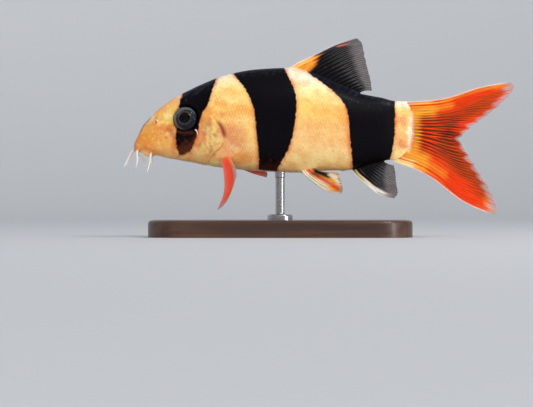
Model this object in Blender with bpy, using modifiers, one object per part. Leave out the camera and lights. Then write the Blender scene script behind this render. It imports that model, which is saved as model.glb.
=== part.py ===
"""Clown loach held in its swimming pose by a plain display stand, at life size.

The fish looks towards -X, and its left side is towards -Y. The origin is the centre of
the underside of the base. Sizes are in millimetres and the meshes are made in metres.
A place on the fish is (along, side, height): the distance behind the tip of the snout,
the distance from the middle plane, which is negative on the left, and the height above
the level of the fork of the tail.
"""

import math

import bmesh
import bpy
from mathutils import Vector

MM = 0.001
GAP = 0.3

# Where the fish hangs over the base
SNOUT_AHEAD = 34.7
SWIM_HEIGHT = 24.0

# Outlines of the flesh (along, height)
BACK = (
    (0.0, -0.9), (0.6, -0.3), (1.05, 0.3), (1.9, 2.1), (3.35, 3.85), (6.2, 6.65),
    (10.5, 9.5), (16.2, 12.3), (22.0, 14.5), (29.0, 15.8), (36.0, 16.15), (41.3, 14.95),
    (46.6, 12.8), (53.2, 10.2), (59.0, 9.05), (62.0, 8.35), (66.5, 8.15),
)
BELLY = (
    (0.0, -3.5), (0.5, -3.8), (1.25, -3.55), (2.2, -4.2), (3.4, -4.7), (4.6, -4.6),
    (7.6, -5.2), (13.3, -6.2), (19.0, -7.3), (28.0, -8.2), (38.5, -8.7), (46.0, -8.2),
    (51.0, -8.1), (53.5, -7.3), (57.0, -6.2), (61.0, -5.75), (66.5, -5.6),
)

# Greatest half width of each section, and its height (along, value)
HALF_WIDTH = (
    (0.0, 1.7), (1.0, 2.1), (2.5, 2.6), (6.0, 3.6), (12.4, 4.9), (20.0, 6.1),
    (30.0, 6.6), (37.0, 6.3), (43.0, 5.8), (49.0, 5.0), (54.0, 4.2), (59.0, 3.2),
    (63.0, 2.0), (66.5, 0.6),
)
WIDEST_AT = (
    (0.0, -2.5), (6.0, -1.6), (12.0, -0.6), (20.0, 0.6), (30.0, 2.2), (40.0, 2.6),
    (50.0, 1.8), (60.0, 1.3), (66.5, 1.2),
)
NOSE_ROUNDING = 1.3
ROUND_ABOVE, ROUND_BELOW = 2.0, 2.3

# Lines that part the head, torso and tail stalk, and end the flesh (along, height)
GILL_LINE = (
    (16.6, 20.0), (17.0, 9.0), (19.0, 4.2), (20.8, 0.6), (20.9, -2.4), (18.6, -4.9),
    (14.8, -12.0),
)
TAIL_LINE = ((54.6, 20.0), (51.0, -12.0))
END_LINE = (
    (65.6, 12.0), (65.8, 8.0), (66.2, 4.0), (66.1, 0.5), (65.6, -2.2), (64.5, -4.3),
    (62.6, -6.0), (60.2, -7.6),
)

# The gill cover stands out from the flank in front of its rear edge
SWELL = 0.45
SWELL_REACH = 7.0
SWELL_TOP, SWELL_BOTTOM = (2.5, 5.5), (-4.5, -8.0)

# Eye (along, height), and how deep its middle lies under the flank
EYE_AT = (12.25, 4.05)
EYE_RADIUS, EYE_DEPTH_RADIUS = 2.95, 2.2
EYE_SUNK = 0.85
EYE_RIM = 0.3

# Nostril and the small spine below the eye (along, height)
NOSTRIL_AT = (5.3, 3.1)
NOSTRIL_RING, NOSTRIL_RIM, NOSTRIL_HOLE = 0.48, 0.2, 0.26
NOSTRIL_DEPTH = 0.5
FLAP_ROOTS = {"left": (5.78, 3.1), "right": (4.9, 3.3)}
FLAP_TIPS = {"left": (5.78, 3.5, 0.8), "right": (3.85, 3.95, 0.8)}
FLAP_RADIUS = 0.25
SPINE_ROOT, SPINE_TIP = (14.5, 1.15), (15.3, 0.1)
SPINE_RADIUS, SPINE_OUT = 0.3, 0.35
ROOT_SUNK = 0.28

# Lines of the mouth on the left half of the snout's underside (along, side, proud)
UPPER_LIP = ((4.3, -1.75, -0.2), (3.0, -1.75, -0.12), (1.75, -1.2, -0.1), (1.25, 0.0, -0.1))
LOWER_LIP = ((4.5, -1.25, -0.3), (3.7, -1.2, -0.2), (2.9, -0.75, -0.2), (2.6, 0.0, -0.3))
MOUTH_LINE = ((4.4, -1.5, 0.0), (3.3, -1.45, 0.05), (2.3, -0.95, 0.05), (1.95, 0.0, 0.05))
UPPER_LIP_RADIUS, LOWER_LIP_RADIUS, MOUTH_LINE_RADIUS = 0.42, 0.48, 0.2

# Feelers: the root (along, side) of the left one, how proud the skin is there, the root's
# radius, then a middle point and the tip (along, side, height) of the left and right one
BARBELS = {
    "rostral_inner": (
        (0.35, -0.55), 0.1, 0.34,
        ((-1.4, -0.9, -5.6), (-2.3, -1.0, -7.4)), ((-1.3, 1.0, -5.5), (-2.1, 1.2, -7.2)),
    ),
    "rostral_outer": (
        (0.95, -1.45), 0.1, 0.34,
        ((0.85, -1.9, -6.0), (0.5, -2.0, -7.7)), ((1.8, 2.1, -5.3), (2.6, 2.5, -6.15)),
    ),
    "maxillary": (
        (4.1, -2.2), 0.1, 0.34,
        ((3.8, -2.7, -6.6), (3.2, -2.8, -8.8)), ((3.1, 2.8, -6.4), (2.15, 3.0, -7.7)),
    ),
    "mandibular": (
        (4.0, -0.95), 0.3, 0.28,
        ((4.15, -1.2, -5.9), (4.1, -1.3, -6.5)), ((4.2, 1.2, -5.9), (4.25, 1.3, -6.4)),
    ),
}
BARBEL_TIP, BARBEL_STUB = 0.12, 0.5

# Each fin is a net of rays from its leading to its trailing edge. A ray is four places
# from its root to its tip.
DORSAL_NET = (
    ((36.3, 0, 16.2), (42.2, 0, 19.0), (47.8, 0, 21.7), (53.0, 0, 23.25)),
    ((39.8, 0, 15.4), (44.9, 0, 18.1), (49.7, 0, 20.6), (54.2, 0, 22.1)),
    ((43.3, 0, 14.2), (47.5, 0, 16.4), (51.3, 0, 18.2), (54.8, 0, 19.2)),
    ((46.8, 0, 12.7), (50.0, 0, 14.3), (52.9, 0, 15.5), (55.5, 0, 16.1)),
    ((50.2, 0, 11.4), (52.4, 0, 12.4), (54.4, 0, 13.1), (56.2, 0, 13.3)),
    ((53.4, 0, 10.2), (54.6, 0, 10.7), (55.6, 0, 10.8), (56.5, 0, 10.7)),
)
ANAL_NET = (
    ((51.4, 0, -8.3), (54.5, 0, -11.0), (58.0, 0, -13.85), (61.9, 0, -14.85)),
    ((53.4, 0, -7.6), (56.2, 0, -9.9), (59.3, 0, -12.2), (62.7, 0, -13.5)),
    ((55.3, 0, -6.9), (57.6, 0, -8.4), (59.9, 0, -10.0), (62.3, 0, -11.0)),
    ((57.3, 0, -6.4), (59.0, 0, -7.2), (60.6, 0, -8.0), (62.1, 0, -8.6)),
    ((59.2, 0, -6.1), (60.1, 0, -6.5), (60.9, 0, -6.8), (61.7, 0, -7.0)),
)
CAUDAL_UPPER_NET = (
    ((66.0, 0, 8.1), (73.8, 0, 9.0), (81.8, 0, 11.5), (89.2, 0, 12.9)),
    ((66.1, 0, 6.8), (73.8, 0, 7.5), (82.2, 0, 10.0), (90.5, 0, 11.6)),
    ((66.3, 0, 5.3), (73.2, 0, 5.7), (80.7, 0, 7.6), (87.9, 0, 8.3)),
    ((66.3, 0, 4.0), (72.0, 0, 4.2), (78.2, 0, 4.9), (84.0, 0, 5.0)),
    ((66.3, 0, 2.6), (70.9, 0, 2.5), (75.5, 0, 2.6), (80.2, 0, 2.2)),
    ((66.3, 0, 1.1), (69.9, 0, 0.6), (73.5, 0, 0.1), (77.1, 0, -0.5)),
)
CAUDAL_LOWER_NET = (
    ((62.6, 0, -6.1), (70.3, 0, -9.8), (77.9, 0, -15.5), (85.3, 0, -18.85)),
    ((64.2, 0, -4.9), (71.0, 0, -8.4), (78.5, 0, -13.9), (86.3, 0, -17.3)),
    ((65.2, 0, -3.6), (71.2, 0, -6.5), (78.0, 0, -10.8), (84.8, 0, -13.3)),
    ((65.8, 0, -2.2), (70.9, 0, -4.2), (76.7, 0, -7.4), (82.4, 0, -9.3)),
    ((66.1, 0, -0.8), (70.3, 0, -2.1), (75.1, 0, -4.1), (79.8, 0, -5.2)),
    ((66.3, 0, 0.75), (69.9, 0, 0.25), (73.5, 0, -0.25), (77.1, 0, -0.85)),
)
PELVIC_NET = (
    ((39.4, -2.6, -8.3), (42.4, -3.7, -10.8), (45.8, -4.7, -13.1), (49.4, -5.4, -13.6)),
    ((40.4, -2.9, -8.2), (43.3, -4.1, -10.3), (46.4, -5.1, -12.0), (49.5, -5.8, -12.5)),
    ((41.4, -3.2, -8.1), (44.3, -4.4, -9.5), (46.9, -5.3, -10.5), (49.1, -6.0, -10.9)),
    ((42.4, -3.4, -7.9), (44.9, -4.7, -8.5), (46.8, -5.5, -8.7), (48.3, -6.0, -8.8)),
)
PECTORAL_HANGING_NET = (
    ((20.9, -5.0, -5.5), (21.6, -7.2, -9.4), (21.6, -8.6, -13.5), (20.1, -9.2, -17.6)),
    ((21.5, -5.0, -5.3), (22.6, -8.0, -9.0), (22.7, -9.9, -12.8), (21.4, -10.9, -16.5)),
    ((22.1, -5.0, -5.1), (23.5, -8.6, -8.4), (23.7, -10.8, -11.6), (22.8, -12.2, -14.5)),
    ((22.7, -5.0, -4.9), (24.0, -8.9, -7.4), (24.4, -11.2, -9.4), (24.0, -12.6, -11.2)),
)
PECTORAL_SWEPT_NET = (
    ((20.9, 5.0, -5.5), (24.6, 7.0, -7.2), (28.2, 8.4, -8.7), (31.6, 9.2, -9.7)),
    ((21.5, 5.0, -5.3), (24.9, 7.6, -6.6), (28.3, 9.4, -7.7), (31.7, 10.6, -8.6)),
    ((22.1, 5.0, -5.1), (25.0, 8.0, -6.0), (27.9, 10.1, -6.8), (30.6, 11.6, -7.4)),
    ((22.7, 5.0, -4.9), (24.9, 8.1, -5.4), (26.8, 10.2, -5.8), (28.6, 11.9, -6.1)),
)

# Thickness of a fin's web, its margin, and the ridge of a ray at its root and tip
WEB, MARGIN = 0.5, 0.3
RAY_RISE, RAY_RISE_AT_TIP = 0.34, 0.1

# Base plate and rod of the stand
BASE_LENGTH, BASE_WIDTH, BASE_THICK = 62.0, 34.0, 4.0
BASE_CORNER, BASE_EDGE = 9.0, 0.8
ROD_RADIUS, COLLAR_RADIUS, COLLAR_THICK, COLLAR_EDGE = 1.1, 3.0, 1.4, 0.5

# Colours (linear red, green, blue)
GOLD, PEACH, BLACK = (0.85, 0.42, 0.14), (0.88, 0.62, 0.28), (0.05, 0.04, 0.04)
ORANGE, PALE, EYE_BLACK = (0.72, 0.12, 0.03), (0.9, 0.6, 0.45), (0.03, 0.03, 0.04)
WALNUT, STEEL = (0.10, 0.05, 0.03), (0.6, 0.6, 0.6)


def follow(table, x):
    """Value at x of a smooth line through the table's points that never overshoots."""
    if x <= table[0][0]:
        return table[0][1]
    if x >= table[-1][0]:
        return table[-1][1]
    slopes = [(y1 - y0) / (x1 - x0) for (x0, y0), (x1, y1) in zip(table, table[1:])]
    at = max(i for i, point in enumerate(table[:-1]) if point[0] <= x)

    def tangent(i):
        if i in (0, len(table) - 1):
            return slopes[min(i, len(slopes) - 1)]
        before, after = slopes[i - 1], slopes[i]
        return 0.0 if before * after <= 0 else 2 * before * after / (before + after)

    (x0, y0), (x1, y1) = table[at], table[at + 1]
    step = x1 - x0
    s = (x - x0) / step
    level = y0 * (1 + 2 * s) * (1 - s) ** 2 + y1 * s * s * (3 - 2 * s)
    bend = tangent(at) * s * (1 - s) ** 2 - tangent(at + 1) * s * s * (1 - s)
    return level + step * bend


def through(points, t):
    """Point at t, from 0 to 1, on a smooth curve through evenly spaced points."""
    spans = len(points) - 1
    at = min(int(t * spans), spans - 1)
    s = t * spans - at
    here, there = Vector(points[at]), Vector(points[at + 1])
    before = Vector(points[at - 1]) if at > 0 else 2 * here - there
    after = Vector(points[at + 2]) if at + 2 <= spans else 2 * there - here
    return 0.5 * (
        2 * here
        + (there - before) * s
        + (2 * before - 5 * here + 4 * there - after) * s * s
        + (3 * here - before - 3 * there + after) * s ** 3
    )


def along_line(line, height, steps=120):
    """Distance along at which a line drawn from back to belly has a height."""
    points = [through(line, i / steps) for i in range(steps + 1)]
    return min(points, key=lambda point: abs(point.y - height)).x


def smoothstep(low, high, x):
    """Rises smoothly from 0 at low to 1 at high."""
    s = min(max((x - low) / (high - low), 0.0), 1.0)
    return s * s * (3 - 2 * s)


def world(along, side, height):
    """A place on the fish as a point of the model, in metres."""
    return Vector((along - SNOUT_AHEAD, side, height + SWIM_HEIGHT)) * MM


def section(along):
    """Greatest half width, its height, the back's height and the belly's height."""
    ahead_of_full = 1 - min(along / NOSE_ROUNDING, 1.0)
    grown = math.sqrt(1 - ahead_of_full ** 2)
    middle = follow(WIDEST_AT, along)
    top = middle + (follow(BACK, along) - middle) * grown
    low = middle + (follow(BELLY, along) - middle) * grown
    return follow(HALF_WIDTH, along) * grown, middle, top, low


def side_at(along, height):
    """Half width of the flesh at a height."""
    wide, middle, top, low = section(along)
    if height > middle:
        share, power = (height - middle) / (top - middle), ROUND_ABOVE
    else:
        share, power = (middle - height) / (middle - low), ROUND_BELOW
    return wide * max(1 - min(share, 1.0) ** power, 0.0) ** (1 / power)


def under_at(along, side):
    """Height of the flesh's underside at a distance from the middle plane."""
    wide, middle, top, low = section(along)
    share = min(abs(side) / wide, 0.97)
    return middle - (middle - low) * (1 - share ** ROUND_BELOW) ** (1 / ROUND_BELOW)


def slopes_of(surface, x, y, step=0.05):
    """Slopes of a function of two values, along each of them."""
    slope_x = (surface(x + step, y) - surface(x - step, y)) / (2 * step)
    slope_y = (surface(x, y + step) - surface(x, y - step)) / (2 * step)
    return slope_x, slope_y


def flank_point(side, along, height, out=0.0):
    """Place on the flank, or a little outside it, with the flank's outward direction."""
    slope_along, slope_up = slopes_of(side_at, along, height)
    outward = Vector((-slope_along, side, -slope_up)).normalized()
    return Vector((along, side * side_at(along, height), height)) + outward * out, outward


def under_point(along, side, out=0.0):
    """Place on the underside, or a little below it."""
    slope_along, slope_side = slopes_of(under_at, along, side)
    outward = Vector((slope_along, slope_side, -1)).normalized()
    return Vector((along, side, under_at(along, side))) + outward * out


def under_line(half_line):
    """Line on the snout's underside and its mirror image, joined at the middle plane."""
    half = [under_point(*point) for point in half_line]
    return half + [Vector((p.x, -p.y, p.z)) for p in reversed(half[:-1])]


def gill_swell(along, height):
    """How far the gill cover stands out from the flank."""
    rise = smoothstep(SWELL_REACH, 0.0, along_line(GILL_LINE, height) - along)
    below_top = 1 - smoothstep(*SWELL_TOP, height)
    above_bottom = 1 - smoothstep(-SWELL_BOTTOM[0], -SWELL_BOTTOM[1], -height)
    return SWELL * rise * below_top * above_bottom


def no_swell(along, height):
    return 0.0


def in_collection(name):
    """The named collection, made when it is first asked for."""
    found = bpy.data.collections.get(name)
    if found is None:
        found = bpy.data.collections.new(name)
        bpy.context.scene.collection.children.link(found)
    return found


def new_object(name, bm, collection="clown_loach"):
    """Object of a bmesh. What isn't a part of the model is drawn as wire."""
    mesh = bpy.data.meshes.new(name)
    bm.to_mesh(mesh)
    bm.free()
    made = bpy.data.objects.new(name, mesh)
    in_collection(collection).objects.link(made)
    if collection != "clown_loach":
        made.hide_render = True
        made.display_type = "WIRE"
    return made


def finish(made, colour, roughness, metallic=0.0):
    """Gives a finished piece its own material and smooth shading."""
    material = bpy.data.materials.new(made.name)
    material.use_nodes = True
    shader = material.node_tree.nodes["Principled BSDF"]
    shader.inputs["Base Color"].default_value = (*colour, 1.0)
    shader.inputs["Roughness"].default_value = roughness
    shader.inputs["Metallic"].default_value = metallic
    made.data.materials.clear()
    made.data.materials.append(material)
    made.data.shade_smooth()
    made.data.set_sharp_from_angle(angle=math.radians(40))


def apply_modifiers(made):
    """Replaces the object's mesh with its evaluated one and drops the modifiers."""
    graph = bpy.context.evaluated_depsgraph_get()
    mesh = bpy.data.meshes.new_from_object(made.evaluated_get(graph), depsgraph=graph)
    made.modifiers.clear()
    made.data = mesh


def linked_faces(start, unseen):
    """All faces that hang together with the first one, taken from the unseen ones."""
    shell, edge = [], [start]
    unseen.discard(start)
    while edge:
        face = edge.pop()
        shell.append(face)
        for other in {near for link in face.edges for near in link.link_faces} & unseen:
            unseen.discard(other)
            edge.append(other)
    return shell


def volume_of(shell):
    """Six times the volume inside a closed shell of faces."""
    total = 0.0
    for face in shell:
        first, *others = [v.co for v in face.verts]
        total += sum(first.dot(b.cross(c)) for b, c in zip(others, others[1:]))
    return total


def keep_largest(made):
    """Keeps only the closed surface that holds the most."""
    bm = bmesh.new()
    bm.from_mesh(made.data)
    unseen, shells = set(bm.faces), []
    while unseen:
        shells.append(linked_faces(next(iter(unseen)), unseen))
    shells.sort(key=volume_of)
    for shell in shells[:-1]:
        bmesh.ops.delete(bm, geom=shell, context="FACES")
    bm.to_mesh(made.data)
    bm.free()


def cut(made, cutters):
    """Takes closed pieces away from a body and removes them."""
    for piece in cutters:
        change = made.modifiers.new("cut", "BOOLEAN")
        change.operation = "DIFFERENCE"
        change.object = piece
    apply_modifiers(made)
    for piece in cutters:
        bpy.data.objects.remove(piece)
    keep_largest(made)


def join(made, pieces):
    """Fuses closed pieces with a body and removes them."""
    group = in_collection("joined_to_" + made.name)
    for piece in pieces:
        in_collection("tools").objects.unlink(piece)
        group.objects.link(piece)
    union = made.modifiers.new("join", "BOOLEAN")
    union.operation = "UNION"
    union.operand_type = "COLLECTION"
    union.collection = group
    apply_modifiers(made)
    for piece in pieces:
        bpy.data.objects.remove(piece)
    bpy.data.collections.remove(group)
    keep_largest(made)


def spaced(start, end, count, ease=1.0):
    """Values from start to end, closer together near the start where ease is over 1."""
    return [start + (end - start) * (i / count) ** ease for i in range(count + 1)]


def loft(name, stations, sides, swell):
    """Flesh between the first and last station, closed at both ends."""
    bm = bmesh.new()
    rings = []
    for along in stations:
        wide, middle, top, low = section(along)
        ring = []
        for i in range(sides):
            turn = 2 * math.pi * i / sides
            across, up = math.cos(turn), math.sin(turn)
            power = 2 / (ROUND_ABOVE if up > 0 else ROUND_BELOW)
            reach = (top - middle) if up > 0 else (middle - low)
            height = middle + math.copysign(abs(up) ** power * reach, up)
            side = wide * abs(across) ** power + swell(along, height) * abs(across)
            ring.append(bm.verts.new(world(along, math.copysign(side, across), height)))
        rings.append(ring)
    for ring, following in zip(rings, rings[1:]):
        for i in range(sides):
            j = (i + 1) % sides
            bm.faces.new((ring[i], ring[j], following[j], following[i]))
    bm.faces.new(rings[0][::-1])
    bm.faces.new(rings[-1])
    bmesh.ops.recalc_face_normals(bm, faces=bm.faces)
    return new_object(name, bm)


def region(name, line, steps, behind):
    """Block that holds all that is behind, or ahead of, a line from back to belly."""
    reach, half = 40.0, 12.0
    points = [through(line, i / steps) for i in range(steps + 1)]
    moved = []
    for i, point in enumerate(points):
        run = points[min(i + 1, steps)] - points[max(i - 1, 0)]
        rearward = Vector((-run.y, run.x)).normalized()
        moved.append(point + rearward * (-GAP / 2 if behind else GAP / 2))
    far = max(p.x for p in moved) + reach if behind else min(p.x for p in moved) - reach
    outline = [world(p.x, -half, p.y) for p in moved]
    outline.append(world(far, -half, moved[-1].y))
    outline.append(world(far, -half, moved[0].y))
    bm = bmesh.new()
    face = bm.faces.new([bm.verts.new(p) for p in outline])
    pushed = bmesh.ops.extrude_face_region(bm, geom=[face])["geom"]
    new_verts = [v for v in pushed if isinstance(v, bmesh.types.BMVert)]
    bmesh.ops.translate(bm, verts=new_verts, vec=(0, 2 * half * MM, 0))
    bmesh.ops.recalc_face_normals(bm, faces=bm.faces)
    return new_object(name, bm, "tools")


def tube(name, points, radius, steps, cyclic=False, taper=None, collection="tools"):
    """Round bar along a smooth curve through the points, as a closed mesh."""
    curve = bpy.data.curves.new(name, "CURVE")
    curve.dimensions = "3D"
    curve.bevel_depth = radius * MM
    curve.bevel_resolution = 1
    curve.use_fill_caps = True
    spline = curve.splines.new("POLY")
    spline.use_cyclic_u = cyclic
    spline.points.add(steps - 1)
    for i, point in enumerate(spline.points):
        t = i / (steps if cyclic else steps - 1)
        point.co = (*world(*through(points, t)), 1.0)
        point.radius = 1.0 if taper is None else taper(t)
    bar = bpy.data.objects.new(name, curve)
    in_collection(collection).objects.link(bar)
    graph = bpy.context.evaluated_depsgraph_get()
    mesh = bpy.data.meshes.new_from_object(bar.evaluated_get(graph), depsgraph=graph)
    bpy.data.objects.remove(bar)
    bm = bmesh.new()
    bm.from_mesh(mesh)
    bmesh.ops.remove_doubles(bm, verts=bm.verts, dist=1e-7)
    bmesh.ops.recalc_face_normals(bm, faces=bm.faces)
    return new_object(name, bm, collection)


def ring_on_flank(name, side, centre, radius, thickness, steps):
    """Closed round bar on the flank that is a circle when seen from the side."""
    points = []
    for i in range(steps + 1):
        turn = 2 * math.pi * i / steps
        along = centre[0] + radius * math.cos(turn)
        height = centre[1] + radius * math.sin(turn)
        points.append(flank_point(side, along, height)[0])
    return tube(name, points, thickness, steps, cyclic=True)


def spike(name, root, tip, radius):
    """Pointed bar from a root to a tip."""
    line = (root, (root + tip) / 2, tip)
    return tube(name, line, radius, 3, taper=lambda t: 1.0 - 0.75 * t)


def eyeball(name, side, extra, collection="clown_loach"):
    """Flattened ball that faces out from the flank."""
    sunk, outward = flank_point(side, *EYE_AT, -EYE_SUNK)
    facing = outward.to_track_quat("Z", "Y")
    round_size, deep_size = EYE_RADIUS + extra, EYE_DEPTH_RADIUS + extra
    bm = bmesh.new()
    bmesh.ops.create_uvsphere(bm, u_segments=24, v_segments=12, radius=1.0)
    for v in bm.verts:
        stretched = Vector((v.co.x * round_size, v.co.y * round_size, v.co.z * deep_size))
        v.co = world(*(sunk + facing @ stretched))
    return new_object(name, bm, collection)


def head_details(side, name):
    """What stands out from one side of the head, and what is cut into it."""
    flap_root = flank_point(side, *FLAP_ROOTS[name], -ROOT_SUNK)[0]
    flap_tip = flank_point(side, *FLAP_TIPS[name])[0]
    spine_root = flank_point(side, *SPINE_ROOT, -ROOT_SUNK)[0]
    spine_tip = flank_point(side, *SPINE_TIP, SPINE_OUT)[0]
    reach = (-NOSTRIL_DEPTH, 0.0, NOSTRIL_DEPTH)
    hole = [flank_point(side, *NOSTRIL_AT, out)[0] for out in reach]
    pieces = [
        ring_on_flank("eye_rim_" + name, side, EYE_AT, EYE_RADIUS + 0.05, EYE_RIM, 22),
        ring_on_flank("nostril_rim_" + name, side, NOSTRIL_AT, NOSTRIL_RING, NOSTRIL_RIM, 10),
        spike("nostril_flap_" + name, flap_root, flap_tip, FLAP_RADIUS),
        spike("spine_" + name, spine_root, spine_tip, SPINE_RADIUS),
    ]
    cutters = [
        eyeball("socket_" + name, side, GAP, "tools"),
        tube("nostril_" + name, hole, NOSTRIL_HOLE, 2),
    ]
    return pieces, cutters


def make_head():
    """Head with lips, nostrils, eye rims and sockets, spines and gill covers."""
    head = loft("head", [0.03] + spaced(0.16, 24.0, 30, 1.25), 44, gill_swell)
    pieces = [
        tube("upper_lip", under_line(UPPER_LIP), UPPER_LIP_RADIUS, 17),
        tube("lower_lip", under_line(LOWER_LIP), LOWER_LIP_RADIUS, 15),
    ]
    cutters = [
        region("behind_gills", GILL_LINE, 28, True),
        tube("mouth_line", under_line(MOUTH_LINE), MOUTH_LINE_RADIUS, 17),
    ]
    for name, side in (("left", -1), ("right", 1)):
        more_pieces, more_cutters = head_details(side, name)
        pieces += more_pieces
        cutters += more_cutters
    join(head, pieces)
    cut(head, cutters)
    finish(head, GOLD, 0.35)


def make_eyes():
    for name, side in (("left", -1), ("right", 1)):
        finish(eyeball("eye_" + name, side, 0.0), EYE_BLACK, 0.08)


def make_torso():
    torso = loft("torso", spaced(13.5, 56.0, 26), 44, no_swell)
    ahead = region("ahead_of_gills", GILL_LINE, 28, False)
    behind = region("behind_torso", TAIL_LINE, 1, True)
    cut(torso, [ahead, behind])
    finish(torso, PEACH, 0.35)


def make_tail_stalk():
    stalk = loft("tail_stalk", spaced(49.5, 66.5, 15), 36, no_swell)
    ahead = region("ahead_of_stalk", TAIL_LINE, 1, False)
    behind = region("behind_stalk", END_LINE, 24, True)
    cut(stalk, [ahead, behind])
    finish(stalk, BLACK, 0.35)


def on_back(along, side, height):
    return Vector((along, 0.0, follow(BACK, along) + GAP))


def under_belly(along, side, height):
    return Vector((along, 0.0, follow(BELLY, along) - GAP))


def at_stalk_end(along, side, height):
    return Vector((along_line(END_LINE, height) + GAP / 2, 0.0, height))


def on_flank(along, side, height):
    return flank_point(math.copysign(1, side), along, height, GAP)[0]


def mirrored(net):
    """The same net on the other side of the fish."""
    return tuple(tuple((x, -y, z) for x, y, z in ray) for ray in net)


def make_fin(name, net, rays, rows, seat, colour):
    """Thin web over the net, seated on the flesh, with a ridge along each ray."""
    columns = 2 * rays
    thickest = WEB + RAY_RISE
    bm = bmesh.new()
    bmesh.ops.create_grid(bm, x_segments=columns, y_segments=rows, size=1.0)
    share_of_thickest = bm.verts.layers.deform.verify()
    for v in bm.verts:
        across, out = (v.co.x + 1) / 2, (v.co.y + 1) / 2
        at_root, at_margin = out < 0.5 / rows, out > 1 - 0.5 / rows
        on_ray = round(across * columns) % 2
        rise = on_ray * (RAY_RISE + (RAY_RISE_AT_TIP - RAY_RISE) * out)
        v[share_of_thickest][0] = ((MARGIN if at_margin else WEB) + rise) / thickest
        place = through([through(ray, out) for ray in net], across)
        v.co = world(*(seat(*place) if at_root else place))
    bmesh.ops.triangulate(bm, faces=bm.faces, quad_method="SHORT_EDGE")
    fin = new_object(name, bm)
    fin.vertex_groups.new(name="thickness")
    solid = fin.modifiers.new("thickness", "SOLIDIFY")
    solid.thickness = thickest * MM
    solid.offset = 0.0
    solid.vertex_group = "thickness"
    apply_modifiers(fin)
    finish(fin, colour, 0.4)


def make_fins():
    make_fin("dorsal_fin", DORSAL_NET, 11, 9, on_back, BLACK)
    make_fin("anal_fin", ANAL_NET, 8, 7, under_belly, BLACK)
    make_fin("caudal_fin_upper", CAUDAL_UPPER_NET, 10, 12, at_stalk_end, ORANGE)
    make_fin("caudal_fin_lower", CAUDAL_LOWER_NET, 10, 12, at_stalk_end, ORANGE)
    make_fin("pelvic_fin_left", PELVIC_NET, 8, 7, on_flank, ORANGE)
    make_fin("pelvic_fin_right", mirrored(PELVIC_NET), 8, 7, on_flank, ORANGE)
    make_fin("pectoral_fin_left", PECTORAL_HANGING_NET, 11, 9, on_flank, ORANGE)
    make_fin("pectoral_fin_right", PECTORAL_SWEPT_NET, 11, 9, on_flank, ORANGE)


def make_barbels():
    for pair, (root, proud, radius, left_line, right_line) in BARBELS.items():
        for name, side, rest in (("left", 1, left_line), ("right", -1, right_line)):
            place = (root[0], root[1] * side)
            start = under_point(*place, proud + GAP)
            stub = under_point(*place, proud + GAP + BARBEL_STUB)
            barbel = tube(
                "barbel_" + pair + "_" + name, (start, stub, *rest), radius, 10,
                taper=lambda t: 1 + (BARBEL_TIP / radius - 1) * t ** 1.5,
                collection="clown_loach",
            )
            finish(barbel, PALE, 0.4)


def make_base():
    """Flat plate with round corners and a softened upper edge."""
    bm = bmesh.new()
    bmesh.ops.create_cube(bm, size=1.0)
    size = Vector((BASE_LENGTH, BASE_WIDTH, BASE_THICK)) * MM
    bmesh.ops.scale(bm, verts=bm.verts, vec=size)
    bmesh.ops.translate(bm, verts=bm.verts, vec=(0, 0, size.z / 2))
    upright = [e for e in bm.edges if abs(e.verts[0].co.z - e.verts[1].co.z) > size.z / 2]
    bmesh.ops.bevel(
        bm, geom=upright, offset=BASE_CORNER * MM, segments=7, profile=0.5,
        affect="EDGES", material=-1,
    )
    rim = [e for e in bm.edges if all(v.co.z > size.z / 2 for v in e.verts)]
    bmesh.ops.bevel(
        bm, geom=rim, offset=BASE_EDGE * MM, segments=2, profile=0.5,
        affect="EDGES", material=-1,
    )
    finish(new_object("stand_base", bm), WALNUT, 0.4)


def make_rod():
    """Turned rod with a collar at its foot, straight under the belly."""
    top = SWIM_HEIGHT + follow(BELLY, SNOUT_AHEAD) - GAP
    bottom = BASE_THICK + GAP
    collar_top = bottom + COLLAR_THICK
    profile = (
        (0.0, bottom), (COLLAR_RADIUS, bottom), (COLLAR_RADIUS, collar_top - COLLAR_EDGE),
        (COLLAR_RADIUS - COLLAR_EDGE, collar_top), (ROD_RADIUS, collar_top),
        (ROD_RADIUS, top), (0.0, top),
    )
    bm = bmesh.new()
    verts = [bm.verts.new((radius * MM, 0, height * MM)) for radius, height in profile]
    edges = [bm.edges.new(pair) for pair in zip(verts, verts[1:])]
    bmesh.ops.spin(
        bm, geom=verts + edges, axis=(0, 0, 1), cent=(0, 0, 0), steps=24,
        angle=2 * math.pi, use_merge=True, use_duplicate=False,
    )
    bmesh.ops.remove_doubles(bm, verts=bm.verts, dist=1e-6)
    bmesh.ops.recalc_face_normals(bm, faces=bm.faces)
    finish(new_object("stand_rod", bm), STEEL, 0.3, 1.0)


def main():
    for old in list(bpy.data.objects):
        bpy.data.objects.remove(old)
    make_head()
    make_eyes()
    make_torso()
    make_tail_stalk()
    make_fins()
    make_barbels()
    make_base()
    make_rod()


main()
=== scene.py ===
"""Looks of a clown loach that swims over a plain display stand, at life size.

The fish looks towards -X, and its left side is towards -Y. A place on the fish is
(along, side, height) in millimetres: the distance behind the tip of the snout, the
distance from the middle plane, which is negative on the left, and the height above the
level of the fork of the tail.
"""

import math

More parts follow.
